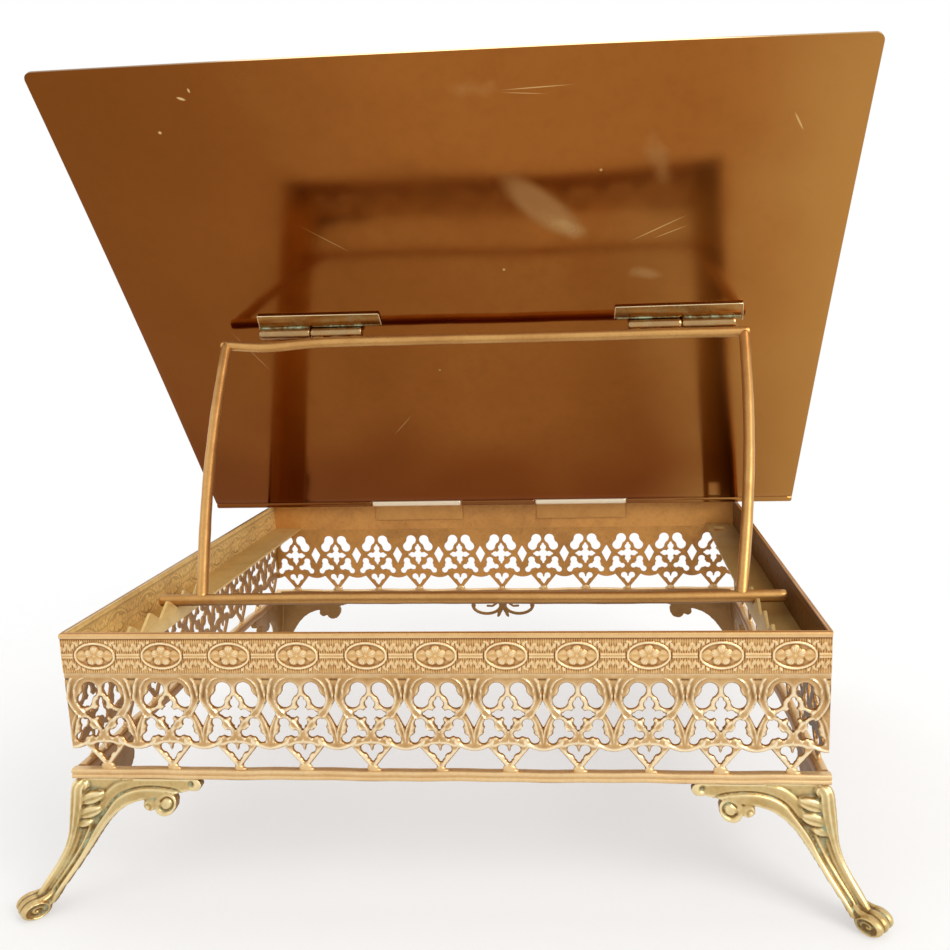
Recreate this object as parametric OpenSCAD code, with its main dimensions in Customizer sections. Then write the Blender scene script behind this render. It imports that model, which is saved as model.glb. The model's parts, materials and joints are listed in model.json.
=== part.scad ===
// Brass book stand: a pierced gothic frame on four cast legs, with a hinged plate
// that a wire prop holds up from a pair of toothed racks.
// Front is -Y, up is +Z, and the floor is at z = 0. Left and right are the reader's.

/* [Frame] */
// Width of one gothic unit of the pierced gallery
unit = 24; // [20:0.5:28]
// Gothic units along the back and along the front
units_x = 11; // [9:1:13]
// Gothic units along each side
units_y = 9; // [8:1:11]
// Thickness of the pierced gallery and the frieze
panel_t = 1.6; // [1.2:0.1:2.2]
// Height of the stamped frieze above the gallery
frieze_h = 14.2; // [12:0.1:18]
// Height of the reeded bottom rail
rail_h = 3.8; // [3:0.1:5]
// Depth of the reeded bottom rail, without its reeds
rail_t = 3.4; // [3:0.1:5]

/* [Frieze ornament] */
// Width of one oval medallion
medal_w = 15; // [12:0.1:17]
// Height of one oval medallion
medal_h = 10; // [8:0.1:11]
// How far the medallions stand out
medal_out = 0.5; // [0.3:0.05:0.8]
// Height of the bead along the top of the frieze
bead_h = 1.6; // [1:0.1:2.4]
// How far the bead stands out
bead_out = 0.7; // [0.4:0.05:1.2]

/* [Legs] */
// Height of the legs, from the floor to the rail
leg_h = 45; // [40:0.5:58]
// How far the foot stands out from the corner, along the diagonal
foot_out = 18; // [14:0.5:24]
// Radius of the rolled foot
foot_r = 4.6; // [4:0.1:6.5]
// Length of the rolled foot
foot_w = 11; // [9:0.1:15]
// Depth that the floor flat is worn into the foot
foot_flat = 0.4; // [0.2:0.05:0.6]
// Width of the leg across the diagonal
leg_w = 8; // [6:0.1:10]
// Thickness of the leg at its top, along the diagonal
leg_t = 7; // [5.5:0.1:9]
// Length of each wing along the rail
wing_len = 44; // [36:0.5:56]
// Thickness of each wing
wing_t = 3; // [2.4:0.1:3.4]
// Thickness of the wing's arched band at its tip
wing_tip = 3.6; // [3:0.1:5]
// Depth of the wing at the corner, below the rail
wing_drop = 28; // [22:0.5:34]

/* [Racks] */
// Width of the shelf between the side panel and the toothed web
shelf_w = 15; // [12:0.5:20]
// Thickness of the rack's strip
rack_t = 1.2; // [0.9:0.1:2]
// Height of the toothed web above its shelf
web_h = 9.4; // [8:0.1:11]
// Distance between two notches
notch_pitch = 15; // [14:0.1:18]
// Depth of each notch
notch_depth = 5; // [4:0.1:5.6]
// Number of notches
notches = 5; // [4:1:6]
// Notch that the prop stands in, counted from the back
rest_notch = 4; // [2:1:4]
// Distance from the back of the frame to the first notch
first_notch = 10.5; // [9:0.1:14]
// Width of the flat on each tooth
tooth_flat = 0.8; // [0.4:0.1:1.2]
// Width of the slot in the left shelf
slot_w = 6; // [4:0.5:8]
// Length of the slot in the left shelf
slot_l = 10; // [6:0.5:14]
// Distance of the slot from the toothed web's face
slot_in = 3; // [2:0.5:4]
// Distance of the slot from the front end of the shelf's space
slot_end = 8; // [6:0.5:12]

/* [Plate] */
// Width of the book plate
plate_w = 322; // [300:1:345]
// Height of the book plate, measured along it from its hinge
plate_l = 246; // [230:1:265]
// Thickness of the book plate
plate_t = 1.4; // [1:0.1:2]
// Radius of the plate's two upper corners
plate_corner = 5; // [2:0.5:12]
// Tilt of the plate from flat
tilt = 54; // [48:0.5:58]
// Distance of the plate's hinge from the front of the frame
hinge_in = 7.5; // [6:0.1:10]
// Outside diameter of the hinge knuckles
knuckle_d = 3.6; // [3.2:0.1:5]
// Diameter of the hinge pin
pin_d = 1.8; // [1.4:0.1:2.2]
// Length of each frame knuckle
frame_knuckle_l = 50; // [40:1:60]
// Distance of each frame knuckle from the middle
frame_knuckle_x = 46; // [38:1:60]
// Thickness of the leaf of each frame knuckle
hinge_leaf_t = 1.2; // [0.8:0.1:1.5]
// Height of that leaf below its knuckle, inside the front frieze
hinge_leaf_h = 9; // [6:0.5:12]

/* [Ledge] */
// Length of the book ledge
ledge_l = 250; // [200:1:290]
// Depth of the ledge in front of the plate
ledge_d = 24; // [16:0.5:28]
// Height of the turned-up lip
lip_h = 5; // [3:0.5:8]
// Height of the flange that lies on the plate
ledge_flange = 9; // [6:0.5:14]
// Distance of the ledge from the hinge, along the plate
ledge_up = 5; // [4.5:0.1:8]

/* [Prop] */
// Diameter of the prop's rods and wires
rod_d = 4.8; // [4:0.1:6]
// Distance of the prop's hinge from the plate's hinge, along the plate
prop_up = 122; // [112:0.5:130]
// Width of the prop's top rod
prop_w = 244; // [230:1:256]
// How far the prop sits to the left of the middle
prop_shift = 3; // [0:0.5:4]
// Outward bow of each side wire
prop_bow = 2.5; // [1:0.1:5]
// Outside diameter of the prop's hinge knuckles
prop_knuckle_d = 5; // [4.4:0.1:6]
// Diameter of the prop's hinge pins
prop_pin_d = 2.2; // [1.8:0.1:2.8]
// Length of the barrel of each prop hinge
prop_barrel = 49; // [40:1:56]
// Height of the leaf of each prop hinge
prop_leaf_h = 11; // [8:0.5:16]
// Thickness of the leaf of each prop hinge
prop_leaf_t = 1; // [0.8:0.1:1.4]
// How much longer that leaf is than its barrel
prop_leaf_over = 9; // [6:0.5:12]
// Thickness of the brazed web between a turning knuckle and the top rod
prop_web_t = 2.6; // [2:0.1:3.2]
// Distance of the left prop hinge from the middle
prop_hinge_left = 95; // [70:1:98]
// Distance of the right prop hinge from the middle
prop_hinge_right = 77; // [70:1:90]

/* [Pendant] */
// Width of the front pendant
pendant_w = 34; // [28:0.5:44]
// Height of the front pendant
pendant_h = 13; // [11:0.5:18]
// Thickness of the front pendant
pendant_t = 2.2; // [1.6:0.1:3]

/* [Clearances] */
// Radial clearance of a turning knuckle on its pin
run_gap = 0.05; // [0.02:0.01:0.1]
// Radial clearance of a fixed knuckle on its pin
seat_gap = 0.02; // [0.01:0.01:0.04]
// Gap between pieces that move past each other
move_gap = 0.3; // [0.2:0.05:0.6]
// Lift of a hinge's barrel over the sheet beside it, beyond its own radius
hinge_lift = 0.1; // [0.05:0.05:0.3]
// Gap under a brazed joint between two round pieces
braze_gap = 0.05; // [0.02:0.01:0.1]
// Gap at each end of a knuckle, between the plate's sheet and the frame's knuckle
end_gap = 0.5; // [0.3:0.05:1]
// Gap between each end of the prop's foot rod and the side panel
rod_end_gap = 5; // [3:0.5:8]
// Gap between a side wire and the toothed web beside it
web_gap = 5; // [4.5:0.5:8]

/* [Hidden] */
$fn = 64;
// One part of the gothic unit, which is drawn twenty-four parts wide
m = unit / 24;
frame_w = unit * units_x;
frame_d = unit * units_y;
gallery_h = 36 * m;
gallery_z = leg_h + rail_h;
frieze_z = gallery_z + gallery_h;
top_z = frieze_z + frieze_h;
inner_w = frame_w - 2 * panel_t;
inner_d = frame_d - 2 * panel_t;
rail_out = rail_h / 4;
rod_r = rod_d / 2;

// Racks: the shelf lies at the foot of the frieze
shelf_z = frieze_z + rack_t;
web_x = inner_w / 2 - shelf_w;
tip_z = shelf_z + web_h;
notch_half = (notch_pitch - tooth_flat) / 2;
notch_slope = atan2(notch_depth, notch_half);
rod_y = frame_d / 2 - first_notch - (rest_notch - 1) * notch_pitch;
rod_z = tip_z - notch_depth + (rod_r + move_gap) / cos(notch_slope);

// Hinges: the prop's length follows from the tilt and the notch that it stands in
hinge_y = hinge_in - frame_d / 2;
hinge_z = top_z + knuckle_d / 2 + move_gap + hinge_lift;
prop_off = plate_t / 2 + prop_knuckle_d / 2 + hinge_lift;
prop_y = hinge_y + prop_up * cos(tilt) + prop_off * sin(tilt);
prop_z = hinge_z + prop_up * sin(tilt) - prop_off * cos(tilt);
prop_len = norm([rod_y - prop_y, rod_z - prop_z]);
prop_lean = atan2(rod_z - prop_z, rod_y - prop_y);
top_rod_off = prop_knuckle_d / 2 + rod_r + move_gap;
foot_rod_l = inner_w - 2 * rod_end_gap;
wire_foot_x = web_x - web_gap - rod_r;
wire_top_x = prop_w / 2 - rod_r;

// Strips are drawn lying down: x along the strip, y up it, z out of the frame.
module on_back() {
    translate([0, frame_d / 2 - panel_t, 0])
        rotate([90, 0, 180])
        children();
}

module on_front() {
    translate([0, panel_t - frame_d / 2, 0])
        rotate([90, 0, 0])
        children();
}

module on_left() {
    translate([panel_t - frame_w / 2, 0, 0])
        rotate([90, 0, -90])
        children();
}

module on_right() {
    translate([frame_w / 2 - panel_t, 0, 0])
        rotate([90, 0, 90])
        children();
}

// In the plate's own frame y runs up the plate and z out of its reading face.
module on_plate() {
    translate([0, hinge_y, hinge_z])
        rotate([tilt, 0, 0])
        children();
}

// In the prop's own frame y runs from its hinge to its foot rod.
module on_prop() {
    translate([0, prop_y, prop_z])
        rotate([prop_lean, 0, 0])
        children();
}

// A round bar along x, centred on x0
module bar_x(d, l, x0 = 0) {
    translate([x0 - l / 2, 0, 0])
        rotate([0, 90, 0])
        cylinder(d = d, h = l);
}

// Oval of two large and two small arcs that run into each other
module oval(w, h, end_r) {
    a = w / 2;
    b = h / 2;
    side_r = (a * a + b * b - 2 * a * end_r) / (2 * (b - end_r));
    drop = side_r - b;
    reach = (a - end_r) * side_r / (side_r - end_r);
    intersection() {
        translate([0, drop])
            circle(r = side_r);
        translate([0, -drop])
            circle(r = side_r);
        square([2 * reach, h + 1], center = true);
    }
    for (side = [-1, 1])
        translate([side * (a - end_r), 0])
            circle(r = end_r);
}

// Stamped frieze: a plain strip, a bead along its top and a row of oval medallions
module frieze_strip(length, count) {
    translate([-length / 2, frieze_z, 0]) {
        cube([length, frieze_h, panel_t]);
        translate([0, frieze_h - bead_h, 0])
            cube([length, bead_h, panel_t + bead_out]);
    }
    for (i = [0 : count - 1])
        translate([(i - (count - 1) / 2) * unit, frieze_z + (frieze_h - bead_h) / 2, 0])
            linear_extrude(panel_t + medal_out)
            oval(medal_w, medal_h, medal_h * 0.36);
}

// Two lobes beside the mullion, drawn for the right half of the unit
module bilobe() {
    translate([3, -6.5] * m)
        circle(r = 2.3 * m);
    translate([6.1, -10.9] * m)
        circle(r = 2.3 * m);
    polygon([[1.6, -7.5], [4.4, -5.6], [7.5, -10], [4.7, -11.9]] * m);
}

module quatrefoil() {
    for (side = [-1, 1])
        translate([side * 2.9, -15] * m)
            circle(r = 1.7 * m);
    translate([0, -11.8] * m)
        circle(r = 1.6 * m);
    polygon([[-2.9, -13.6], [2.9, -13.6], [2.9, -16.4], [-2.9, -16.4]] * m);
    polygon([[-1.3, -12], [1.3, -12], [1.6, -16], [1.2, -18.6], [0, -20.8], [-1.2, -18.6], [-1.6, -16]] * m);
}

// Three lobes in a triangle, drawn for the right half of the unit
module trilobe() {
    translate([7.6, -18.8] * m)
        circle(r = 1.6 * m);
    translate([9.2, -25.2] * m)
        circle(r = 1.5 * m);
    translate([3.4, -23.4] * m)
        circle(r = 1.5 * m);
    polygon([
        [6.3, -18.8], [8.9, -18.8], [8.7, -22], [10.5, -25], [9, -26.6],
        [6.9, -24.7], [3.4, -24.8], [3.2, -22.1], [5.6, -21.9]
    ] * m);
}

// Heart in the drop under each unit, which stands on the rail
module drop_opening() {
    for (side = [-1, 1])
        translate([side * 2, -28.2] * m)
            circle(r = 1.6 * m);
    translate([0, -31.6] * m)
        circle(r = 1.3 * m);
    polygon([[-3.2, -29.2], [3.2, -29.2], [1, -32.3], [-1, -32.3]] * m);
}

// Diamond on the line between two units
module diamond() {
    polygon([[0, -10.4], [2.4, -15], [0, -20.4], [-2.4, -15]] * m);
}

// Open space above the rail, between two drops and under the swag that hangs between them
module spandrel() {
    difference() {
        polygon([[-10.4, -37], [10.4, -37], [10.4, -34.6], [5, -25], [-5, -25], [-10.4, -34.6]] * m);
        translate([0, -18.8] * m)
            circle(r = 10 * m);
    }
}

module unit_openings() {
    for (side = [0, 1])
        mirror([side, 0]) {
            bilobe();
            trilobe();
        }
    quatrefoil();
    drop_opening();
}

// Pierced gallery, with a plain stile left at each end of its band
module gallery_strip(length, count) {
    stile = 1.2 * m;
    translate([0, frieze_z, 0])
        linear_extrude(panel_t)
        difference() {
            translate([-length / 2, -gallery_h])
                square([length, gallery_h]);
            for (i = [0 : count])
                translate([(i - count / 2) * unit, 0])
                    spandrel();
            for (i = [1 : count - 1])
                translate([(i - count / 2) * unit, 0])
                    diamond();
            intersection() {
                union() {
                    for (i = [0 : count - 1])
                        translate([(i - (count - 1) / 2) * unit, 0])
                            unit_openings();
                }
                translate([stile - length / 2, -gallery_h])
                    square([length - 2 * stile, gallery_h]);
            }
        }
}

// Reeded rail: a flat core with two half-round reeds on its outer face
module rail_strip(length) {
    translate([-length / 2, leg_h, panel_t - rail_t])
        rotate([90, 0, 90])
        linear_extrude(length) {
            square([rail_h, rail_t]);
            for (i = [1, 3])
                translate([i * rail_out, rail_t])
                    circle(r = rail_out);
        }
}

// Wing of a leg, drawn from the corner (x = 0) along the rail (y = 0)
module wing_outline() {
    arch_r = (pow(wing_len, 2) + pow(wing_drop - wing_tip, 2)) / (2 * (wing_drop - wing_tip));
    difference() {
        translate([0, -wing_drop])
            square([wing_len, wing_drop]);
        translate([wing_len, -wing_tip - arch_r])
            circle(r = arch_r);
    }
    translate([wing_len - 2, -2.2])
        circle(r = 2.2);
    translate([wing_len - 11, -8.2])
        circle(r = 3.9);
    translate([wing_len - 11, -wing_tip - 1.5])
        square([5.5, 6], center = true);
    translate([wing_len - 17, -9.2])
        circle(r = 2.6);
}

// Side view of the leg in its diagonal plane: x out from the corner, y up
module leg_outline() {
    bend_z = leg_h - 15;
    ankle = [foot_out - 6, 2 * foot_r];
    heel = [foot_out - 8.5, foot_r - 0.5];
    out_r = (pow(ankle[0], 2) + pow(ankle[1] - bend_z, 2)) / (2 * ankle[0]);
    back = heel[0] + leg_t;
    in_r = (back * back + pow(heel[1] - bend_z, 2)) / (2 * back);
    translate([-leg_t, bend_z])
        square([leg_t, leg_h - bend_z]);
    difference() {
        intersection() {
            translate([in_r - leg_t, bend_z])
                circle(r = in_r);
            translate([-leg_t, foot_r / 2])
                square([leg_t + foot_out, bend_z - foot_r / 2]);
        }
        translate([out_r, bend_z])
            circle(r = out_r);
    }
}

// Rolled foot with two grooves round it, along y
module foot_roll() {
    band = foot_w / 3;
    rotate([90, 0, 0]) {
        for (i = [-1 : 1])
            translate([0, 0, i * band])
                cylinder(r = foot_r, h = band - 0.8, center = true);
        cylinder(r = foot_r - 0.5, h = foot_w - 1, center = true);
    }
}

// One cast leg: its corner is at x = y = 0, and the frame lies towards -x and -y
module leg() {
    intersection() {
        union() {
            translate([0, 0, leg_h])
                rotate([90, 0, 0])
                linear_extrude(wing_t)
                mirror([1, 0])
                wing_outline();
            translate([0, 0, leg_h])
                rotate([90, 0, 90])
                translate([0, 0, -wing_t])
                linear_extrude(wing_t)
                mirror([1, 0])
                wing_outline();
            rotate([0, 0, 45]) {
                translate([0, leg_w / 2, 0])
                    rotate([90, 0, 0])
                    linear_extrude(leg_w)
                    leg_outline();
                translate([foot_out, 0, foot_r - foot_flat])
                    foot_roll();
            }
        }
        translate([-2 * wing_len, -2 * wing_len, 0])
            cube([4 * wing_len, 4 * wing_len, leg_h]);
    }
}

module leg_at(side, end) {
    mirror([side < 0 ? 1 : 0, 0, 0])
        mirror([0, end < 0 ? 1 : 0, 0])
        translate([frame_w / 2, frame_d / 2, 0])
        leg();
}

// Toothed web, drawn from the back of the frame (x = 0) and up from the shelf (y = 0)
module web_outline() {
    start = panel_t + move_gap;
    finish = first_notch + (notches - 1) * notch_pitch + notch_pitch;
    teeth = [
        for (i = [0 : notches - 1], k = [-1 : 1])
            [
                first_notch + i * notch_pitch + k * notch_half,
                web_h - (k == 0 ? notch_depth : 0)
            ]
    ];
    polygon(concat([[start, -rack_t], [start, web_h]], teeth, [[finish, web_h], [finish, -rack_t]]));
}

// Angle strip on one side panel, drawn for the right side
module rack(slotted) {
    difference() {
        translate([web_x, move_gap - inner_d / 2, frieze_z])
            cube([shelf_w, inner_d - 2 * move_gap, rack_t]);
        if (slotted)
            translate([web_x + slot_in, slot_end - inner_d / 2, frieze_z - 1])
                cube([slot_w, slot_l, rack_t + 2]);
    }
    translate([web_x + rack_t, frame_d / 2, shelf_z])
        rotate([90, 0, -90])
        linear_extrude(rack_t)
        web_outline();
}

// Frame half of the plate's hinge: a leaf inside the front frieze, rolled into a knuckle
module hinge_leaf(side) {
    low = hinge_z - knuckle_d / 2;
    translate([side * frame_knuckle_x, 0, 0])
        difference() {
            union() {
                translate([0, hinge_y, hinge_z])
                    bar_x(knuckle_d, frame_knuckle_l);
                translate([-frame_knuckle_l / 2, -inner_d / 2, low])
                    cube([frame_knuckle_l, hinge_y + inner_d / 2, hinge_leaf_t]);
                translate([-frame_knuckle_l / 2, -inner_d / 2, low - hinge_leaf_h])
                    cube([frame_knuckle_l, hinge_leaf_t, hinge_leaf_h + hinge_leaf_t]);
            }
            translate([0, hinge_y, hinge_z])
                bar_x(pin_d + 2 * seat_gap, frame_knuckle_l + 2);
        }
}

module plate_outline() {
    difference() {
        translate([-plate_w / 2, 0])
            square([plate_w, plate_l]);
        for (side = [-1, 1])
            translate([side * (plate_w / 2 - plate_corner), plate_l - plate_corner])
                difference() {
                    translate([side > 0 ? 0 : -plate_corner - 1, 0])
                        square(plate_corner + 1);
                    circle(r = plate_corner);
                }
    }
}

// Plate half of the prop's hinge, drawn on the plate's back. The turning half of the
// barrel lies towards the middle of the plate, where the leaf is cut away.
module prop_leaf(side, x0) {
    half = prop_barrel / 2;
    leaf_l = prop_barrel + prop_leaf_over;
    clear = prop_knuckle_d / 2 + move_gap;
    on_plate()
        translate([side * x0, prop_up, 0])
        difference() {
            union() {
                translate([-leaf_l / 2, 0, -plate_t / 2 - prop_leaf_t])
                    cube([leaf_l, prop_leaf_h, prop_leaf_t]);
                translate([0, 0, -prop_off])
                    bar_x(prop_knuckle_d, half - move_gap, side * (half + move_gap) / 2);
            }
            translate([side > 0 ? -leaf_l : -move_gap / 2, -1, -prop_off - 4])
                cube([leaf_l + move_gap / 2, clear + 1, prop_off + 8]);
            translate([0, 0, -prop_off])
                bar_x(prop_pin_d + 2 * seat_gap, prop_barrel + 20);
        }
}

module prop_pin(side, x0) {
    on_prop()
        bar_x(prop_pin_d, prop_barrel, side * x0);
}

// Turning half of the prop's hinge, brazed to the prop's top rod
module prop_knuckle(side, x0) {
    half = prop_barrel / 2 - move_gap;
    mid = side * (x0 - prop_barrel / 4 - move_gap / 2);
    on_prop()
        difference() {
            union() {
                bar_x(prop_knuckle_d, half, mid);
                translate([mid - half / 2, 0, -prop_web_t / 2])
                    cube([half, top_rod_off, prop_web_t]);
            }
            bar_x(prop_pin_d + 2 * run_gap, 3 * plate_w);
            translate([0, top_rod_off, 0])
                bar_x(rod_d + 2 * braze_gap, 3 * plate_w);
        }
}

// Side wire of the prop, a flat arc from the top rod to the foot rod
module prop_wire(side) {
    top = [side * wire_top_x, top_rod_off];
    foot = [side * wire_foot_x, prop_len];
    chord = norm(top - foot);
    arc_r = (chord * chord / 4 + prop_bow * prop_bow) / (2 * prop_bow);
    half = asin(chord / 2 / arc_r);
    along = (foot - top) / chord;
    out = side * [along[1], -along[0]];
    mid = (top + foot) / 2;
    centre = mid - (arc_r - prop_bow) * out;
    on_prop()
        translate([-prop_shift, 0, 0])
        difference() {
            translate([centre[0], centre[1], 0])
                rotate([0, 0, atan2(out[1], out[0]) - half])
                rotate_extrude(angle = 2 * half)
                translate([arc_r, 0])
                circle(d = rod_d);
            translate([0, top_rod_off, 0])
                bar_x(rod_d + 2 * braze_gap, 3 * plate_w);
            translate([0, prop_len, 0])
                bar_x(rod_d + 2 * braze_gap, 3 * plate_w);
        }
}

module back_frieze() {
    color("goldenrod")
        on_back()
        frieze_strip(frame_w, units_x);
}

module front_frieze() {
    color("goldenrod")
        on_front()
        frieze_strip(frame_w, units_x);
}

module left_frieze() {
    color("goldenrod")
        on_left()
        frieze_strip(inner_d, units_y);
}

module right_frieze() {
    color("goldenrod")
        on_right()
        frieze_strip(inner_d, units_y);
}

module back_gallery() {
    color("goldenrod")
        on_back()
        gallery_strip(frame_w, units_x);
}

module front_gallery() {
    color("goldenrod")
        on_front()
        gallery_strip(frame_w, units_x);
}

module left_gallery() {
    color("goldenrod")
        on_left()
        gallery_strip(inner_d, units_y);
}

module right_gallery() {
    color("goldenrod")
        on_right()
        gallery_strip(inner_d, units_y);
}

module back_rail() {
    color("darkgoldenrod")
        on_back()
        rail_strip(frame_w + 2 * rail_out);
}

module front_rail() {
    color("darkgoldenrod")
        on_front()
        rail_strip(frame_w + 2 * rail_out);
}

module left_rail() {
    color("darkgoldenrod")
        on_left()
        rail_strip(frame_d - 2 * rail_t);
}

module right_rail() {
    color("darkgoldenrod")
        on_right()
        rail_strip(frame_d - 2 * rail_t);
}

module back_left_leg() {
    color("khaki")
        leg_at(-1, 1);
}

module back_right_leg() {
    color("khaki")
        leg_at(1, 1);
}

module front_left_leg() {
    color("khaki")
        leg_at(-1, -1);
}

module front_right_leg() {
    color("khaki")
        leg_at(1, -1);
}

module left_rack() {
    color("burlywood")
        mirror([1, 0, 0])
        rack(true);
}

module right_rack() {
    color("burlywood")
        rack(false);
}

// Two open loops and a small trefoil under the middle of the front rail
module front_pendant() {
    loop_w = pendant_w / 2 - 1;
    loop_h = pendant_h - 2;
    color("khaki")
        translate([0, panel_t - frame_d / 2, leg_h])
        rotate([90, 0, 0])
        linear_extrude(pendant_t, center = true) {
            translate([-pendant_w / 2, -1.6])
                square([pendant_w, 1.6]);
            for (side = [-1, 1])
                translate([side * (loop_w / 2 + 0.6), -loop_h / 2 - 0.6])
                    difference() {
                        oval(loop_w, loop_h, loop_h * 0.36);
                        oval(loop_w - 3.2, loop_h - 3.2, (loop_h - 3.2) * 0.36);
                    }
            translate([-1.5, 1.6 - pendant_h])
                square([3, pendant_h - 1.8]);
            for (side = [-1, 1])
                translate([side * 1.8, 1.5 - pendant_h])
                    circle(r = 1.5);
        }
}

module left_hinge_leaf() {
    color("gold")
        hinge_leaf(-1);
}

module right_hinge_leaf() {
    color("gold")
        hinge_leaf(1);
}

module plate_hinge_pin() {
    color("darkkhaki")
        translate([0, hinge_y, hinge_z])
        bar_x(pin_d, plate_w - 4);
}

// The plate's lower edge is rolled round the pin, except where the frame's knuckles are
module book_plate() {
    color("peru")
        on_plate()
        difference() {
            union() {
                translate([0, 0, -plate_t / 2])
                    linear_extrude(plate_t)
                    plate_outline();
                bar_x(knuckle_d, plate_w);
            }
            bar_x(pin_d + 2 * run_gap, plate_w + 2);
            for (side = [-1, 1])
                translate([side * frame_knuckle_x - frame_knuckle_l / 2 - end_gap, -knuckle_d, -knuckle_d])
                    cube([frame_knuckle_l + 2 * end_gap, 1.5 * knuckle_d + move_gap, 2 * knuckle_d]);
        }
}

// Hidden behind the plate in use: a bent strip that the book stands on
module book_ledge() {
    color("peru")
        on_plate()
        translate([-ledge_l / 2, ledge_up, plate_t / 2])
        rotate([90, 0, 90])
        linear_extrude(ledge_l)
        polygon([
            [0, 0], [ledge_flange, 0], [ledge_flange, rack_t], [rack_t, rack_t],
            [rack_t, ledge_d - rack_t], [lip_h, ledge_d - rack_t], [lip_h, ledge_d], [0, ledge_d]
        ]);
}

module left_prop_leaf() {
    color("gold")
        prop_leaf(-1, prop_hinge_left);
}

module right_prop_leaf() {
    color("gold")
        prop_leaf(1, prop_hinge_right);
}

module left_prop_pin() {
    color("darkkhaki")
        prop_pin(-1, prop_hinge_left);
}

module right_prop_pin() {
    color("darkkhaki")
        prop_pin(1, prop_hinge_right);
}

module left_prop_knuckle() {
    color("gold")
        prop_knuckle(-1, prop_hinge_left);
}

module right_prop_knuckle() {
    color("gold")
        prop_knuckle(1, prop_hinge_right);
}

module prop_top_rod() {
    color("tan")
        on_prop()
        translate([0, top_rod_off, 0])
        bar_x(rod_d, prop_w, -prop_shift);
}

module left_prop_wire() {
    color("tan")
        prop_wire(-1);
}

module right_prop_wire() {
    color("tan")
        prop_wire(1);
}

module prop_foot_rod() {
    color("tan")
        on_prop()
        translate([0, prop_len, 0])
        bar_x(rod_d, foot_rod_l, -prop_shift);
}

back_frieze();
front_frieze();
left_frieze();
right_frieze();
back_gallery();
front_gallery();
left_gallery();
right_gallery();
back_rail();
front_rail();
left_rail();
right_rail();
back_left_leg();
back_right_leg();
front_left_leg();
front_right_leg();
left_rack();
right_rack();
front_pendant();
left_hinge_leaf();
right_hinge_leaf();
plate_hinge_pin();
book_plate();
book_ledge();
left_prop_leaf();
right_prop_leaf();
left_prop_pin();
right_prop_pin();
left_prop_knuckle();
right_prop_knuckle();
prop_top_rod();
left_prop_wire();
right_prop_wire();
prop_foot_rod();
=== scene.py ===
"""Looks of a brass book stand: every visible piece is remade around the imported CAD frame.

Sizes are in millimetres until a piece is placed, and the front of the stand is -Y.
"""
import json
import logging
import math
from dataclasses import dataclass, replace
from enum import Enum
from typing import Callable, Optional, Sequence, Union

import bmesh
import bpy
import numpy as np
from mathutils import Matrix, Vector


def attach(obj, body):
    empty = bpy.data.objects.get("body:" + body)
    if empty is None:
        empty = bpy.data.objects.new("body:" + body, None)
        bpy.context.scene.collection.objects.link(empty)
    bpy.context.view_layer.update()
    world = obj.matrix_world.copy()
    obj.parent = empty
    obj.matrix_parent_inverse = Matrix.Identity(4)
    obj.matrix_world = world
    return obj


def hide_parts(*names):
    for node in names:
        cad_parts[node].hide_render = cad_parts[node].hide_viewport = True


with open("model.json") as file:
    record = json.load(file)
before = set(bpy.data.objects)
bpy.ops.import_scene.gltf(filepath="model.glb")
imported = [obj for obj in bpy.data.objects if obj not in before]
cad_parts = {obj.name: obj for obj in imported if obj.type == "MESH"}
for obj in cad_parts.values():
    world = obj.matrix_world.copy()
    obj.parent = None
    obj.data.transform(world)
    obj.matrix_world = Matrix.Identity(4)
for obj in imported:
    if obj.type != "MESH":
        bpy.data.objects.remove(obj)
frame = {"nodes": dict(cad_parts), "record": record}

log = logging.getLogger("book_stand")
MM = 0.001
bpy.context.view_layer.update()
TONE = "tone"
MARK_DEPTH = 4.0  # reach of a mark through the plate, in millimetres
RAGGED_EDGE = 0.6  # marks with a softer edge than this are ragged
# Short names for the types of arguments.
Array = np.ndarray
Numbers = Sequence[float]
Pair = tuple[float, float]
Colour = tuple[float, float, float, float]
Form, Vert, Edge = bmesh.types.BMesh, bmesh.types.BMVert, bmesh.types.BMEdge
Mesh = bpy.types.Mesh
Rule = Callable[[Vert], float]


def paint(red: int, green: int, blue: int) -> Colour:
    """Turn a screen colour into the linear colour that a shader takes.

    Args:
        red: The red on a screen, from 0 to 255.
        green: The green.
        blue: The blue.

    Returns:
        The linear colour, with an alpha of 1.
    """
    def linear(value: int) -> float:
        """Undo the screen's curve for one channel."""
        part = value / 255
        return part / 12.92 if part <= 0.04045 else ((part + 0.055) / 1.055) ** 2.4

    return linear(red), linear(green), linear(blue), 1.0


VERDIGRIS = paint(172, 192, 160)


class Signal:
    """An output socket whose arithmetic adds Math nodes."""

    def __init__(self, graph: "Graph", socket: Optional[bpy.types.NodeSocket]) -> None:
        """Keep the graph and the socket, which an end node doesn't have."""
        self.graph = graph
        self.socket = socket

    def _math(self, operation: str, first: object, second: object) -> "Signal":
        """Add one Math node."""
        return self.graph.node("ShaderNodeMath", {"operation": operation}, {0: first, 1: second})

    def __add__(self, other: object) -> "Signal":
        """Add a value."""
        return self._math("ADD", self, other)

    __radd__ = __add__

    def __sub__(self, other: object) -> "Signal":
        """Take a value away."""
        return self._math("SUBTRACT", self, other)

    def __rsub__(self, other: object) -> "Signal":
        """Take this away from a value."""
        return self._math("SUBTRACT", other, self)

    def __mul__(self, other: object) -> "Signal":
        """Multiply by a value."""
        return self._math("MULTIPLY", self, other)

    __rmul__ = __mul__

    def spread(self, low: float, high: float) -> "Signal":
        """Map the span from low to high smoothly onto 0 to 1.

        Args:
            low: The value that becomes 0.
            high: The value that becomes 1.

        Returns:
            The mapped signal.
        """
        return self.graph.node(
            "ShaderNodeMapRange", {"interpolation_type": "SMOOTHSTEP"},
            {"Value": self, "From Min": low, "From Max": high})


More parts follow.
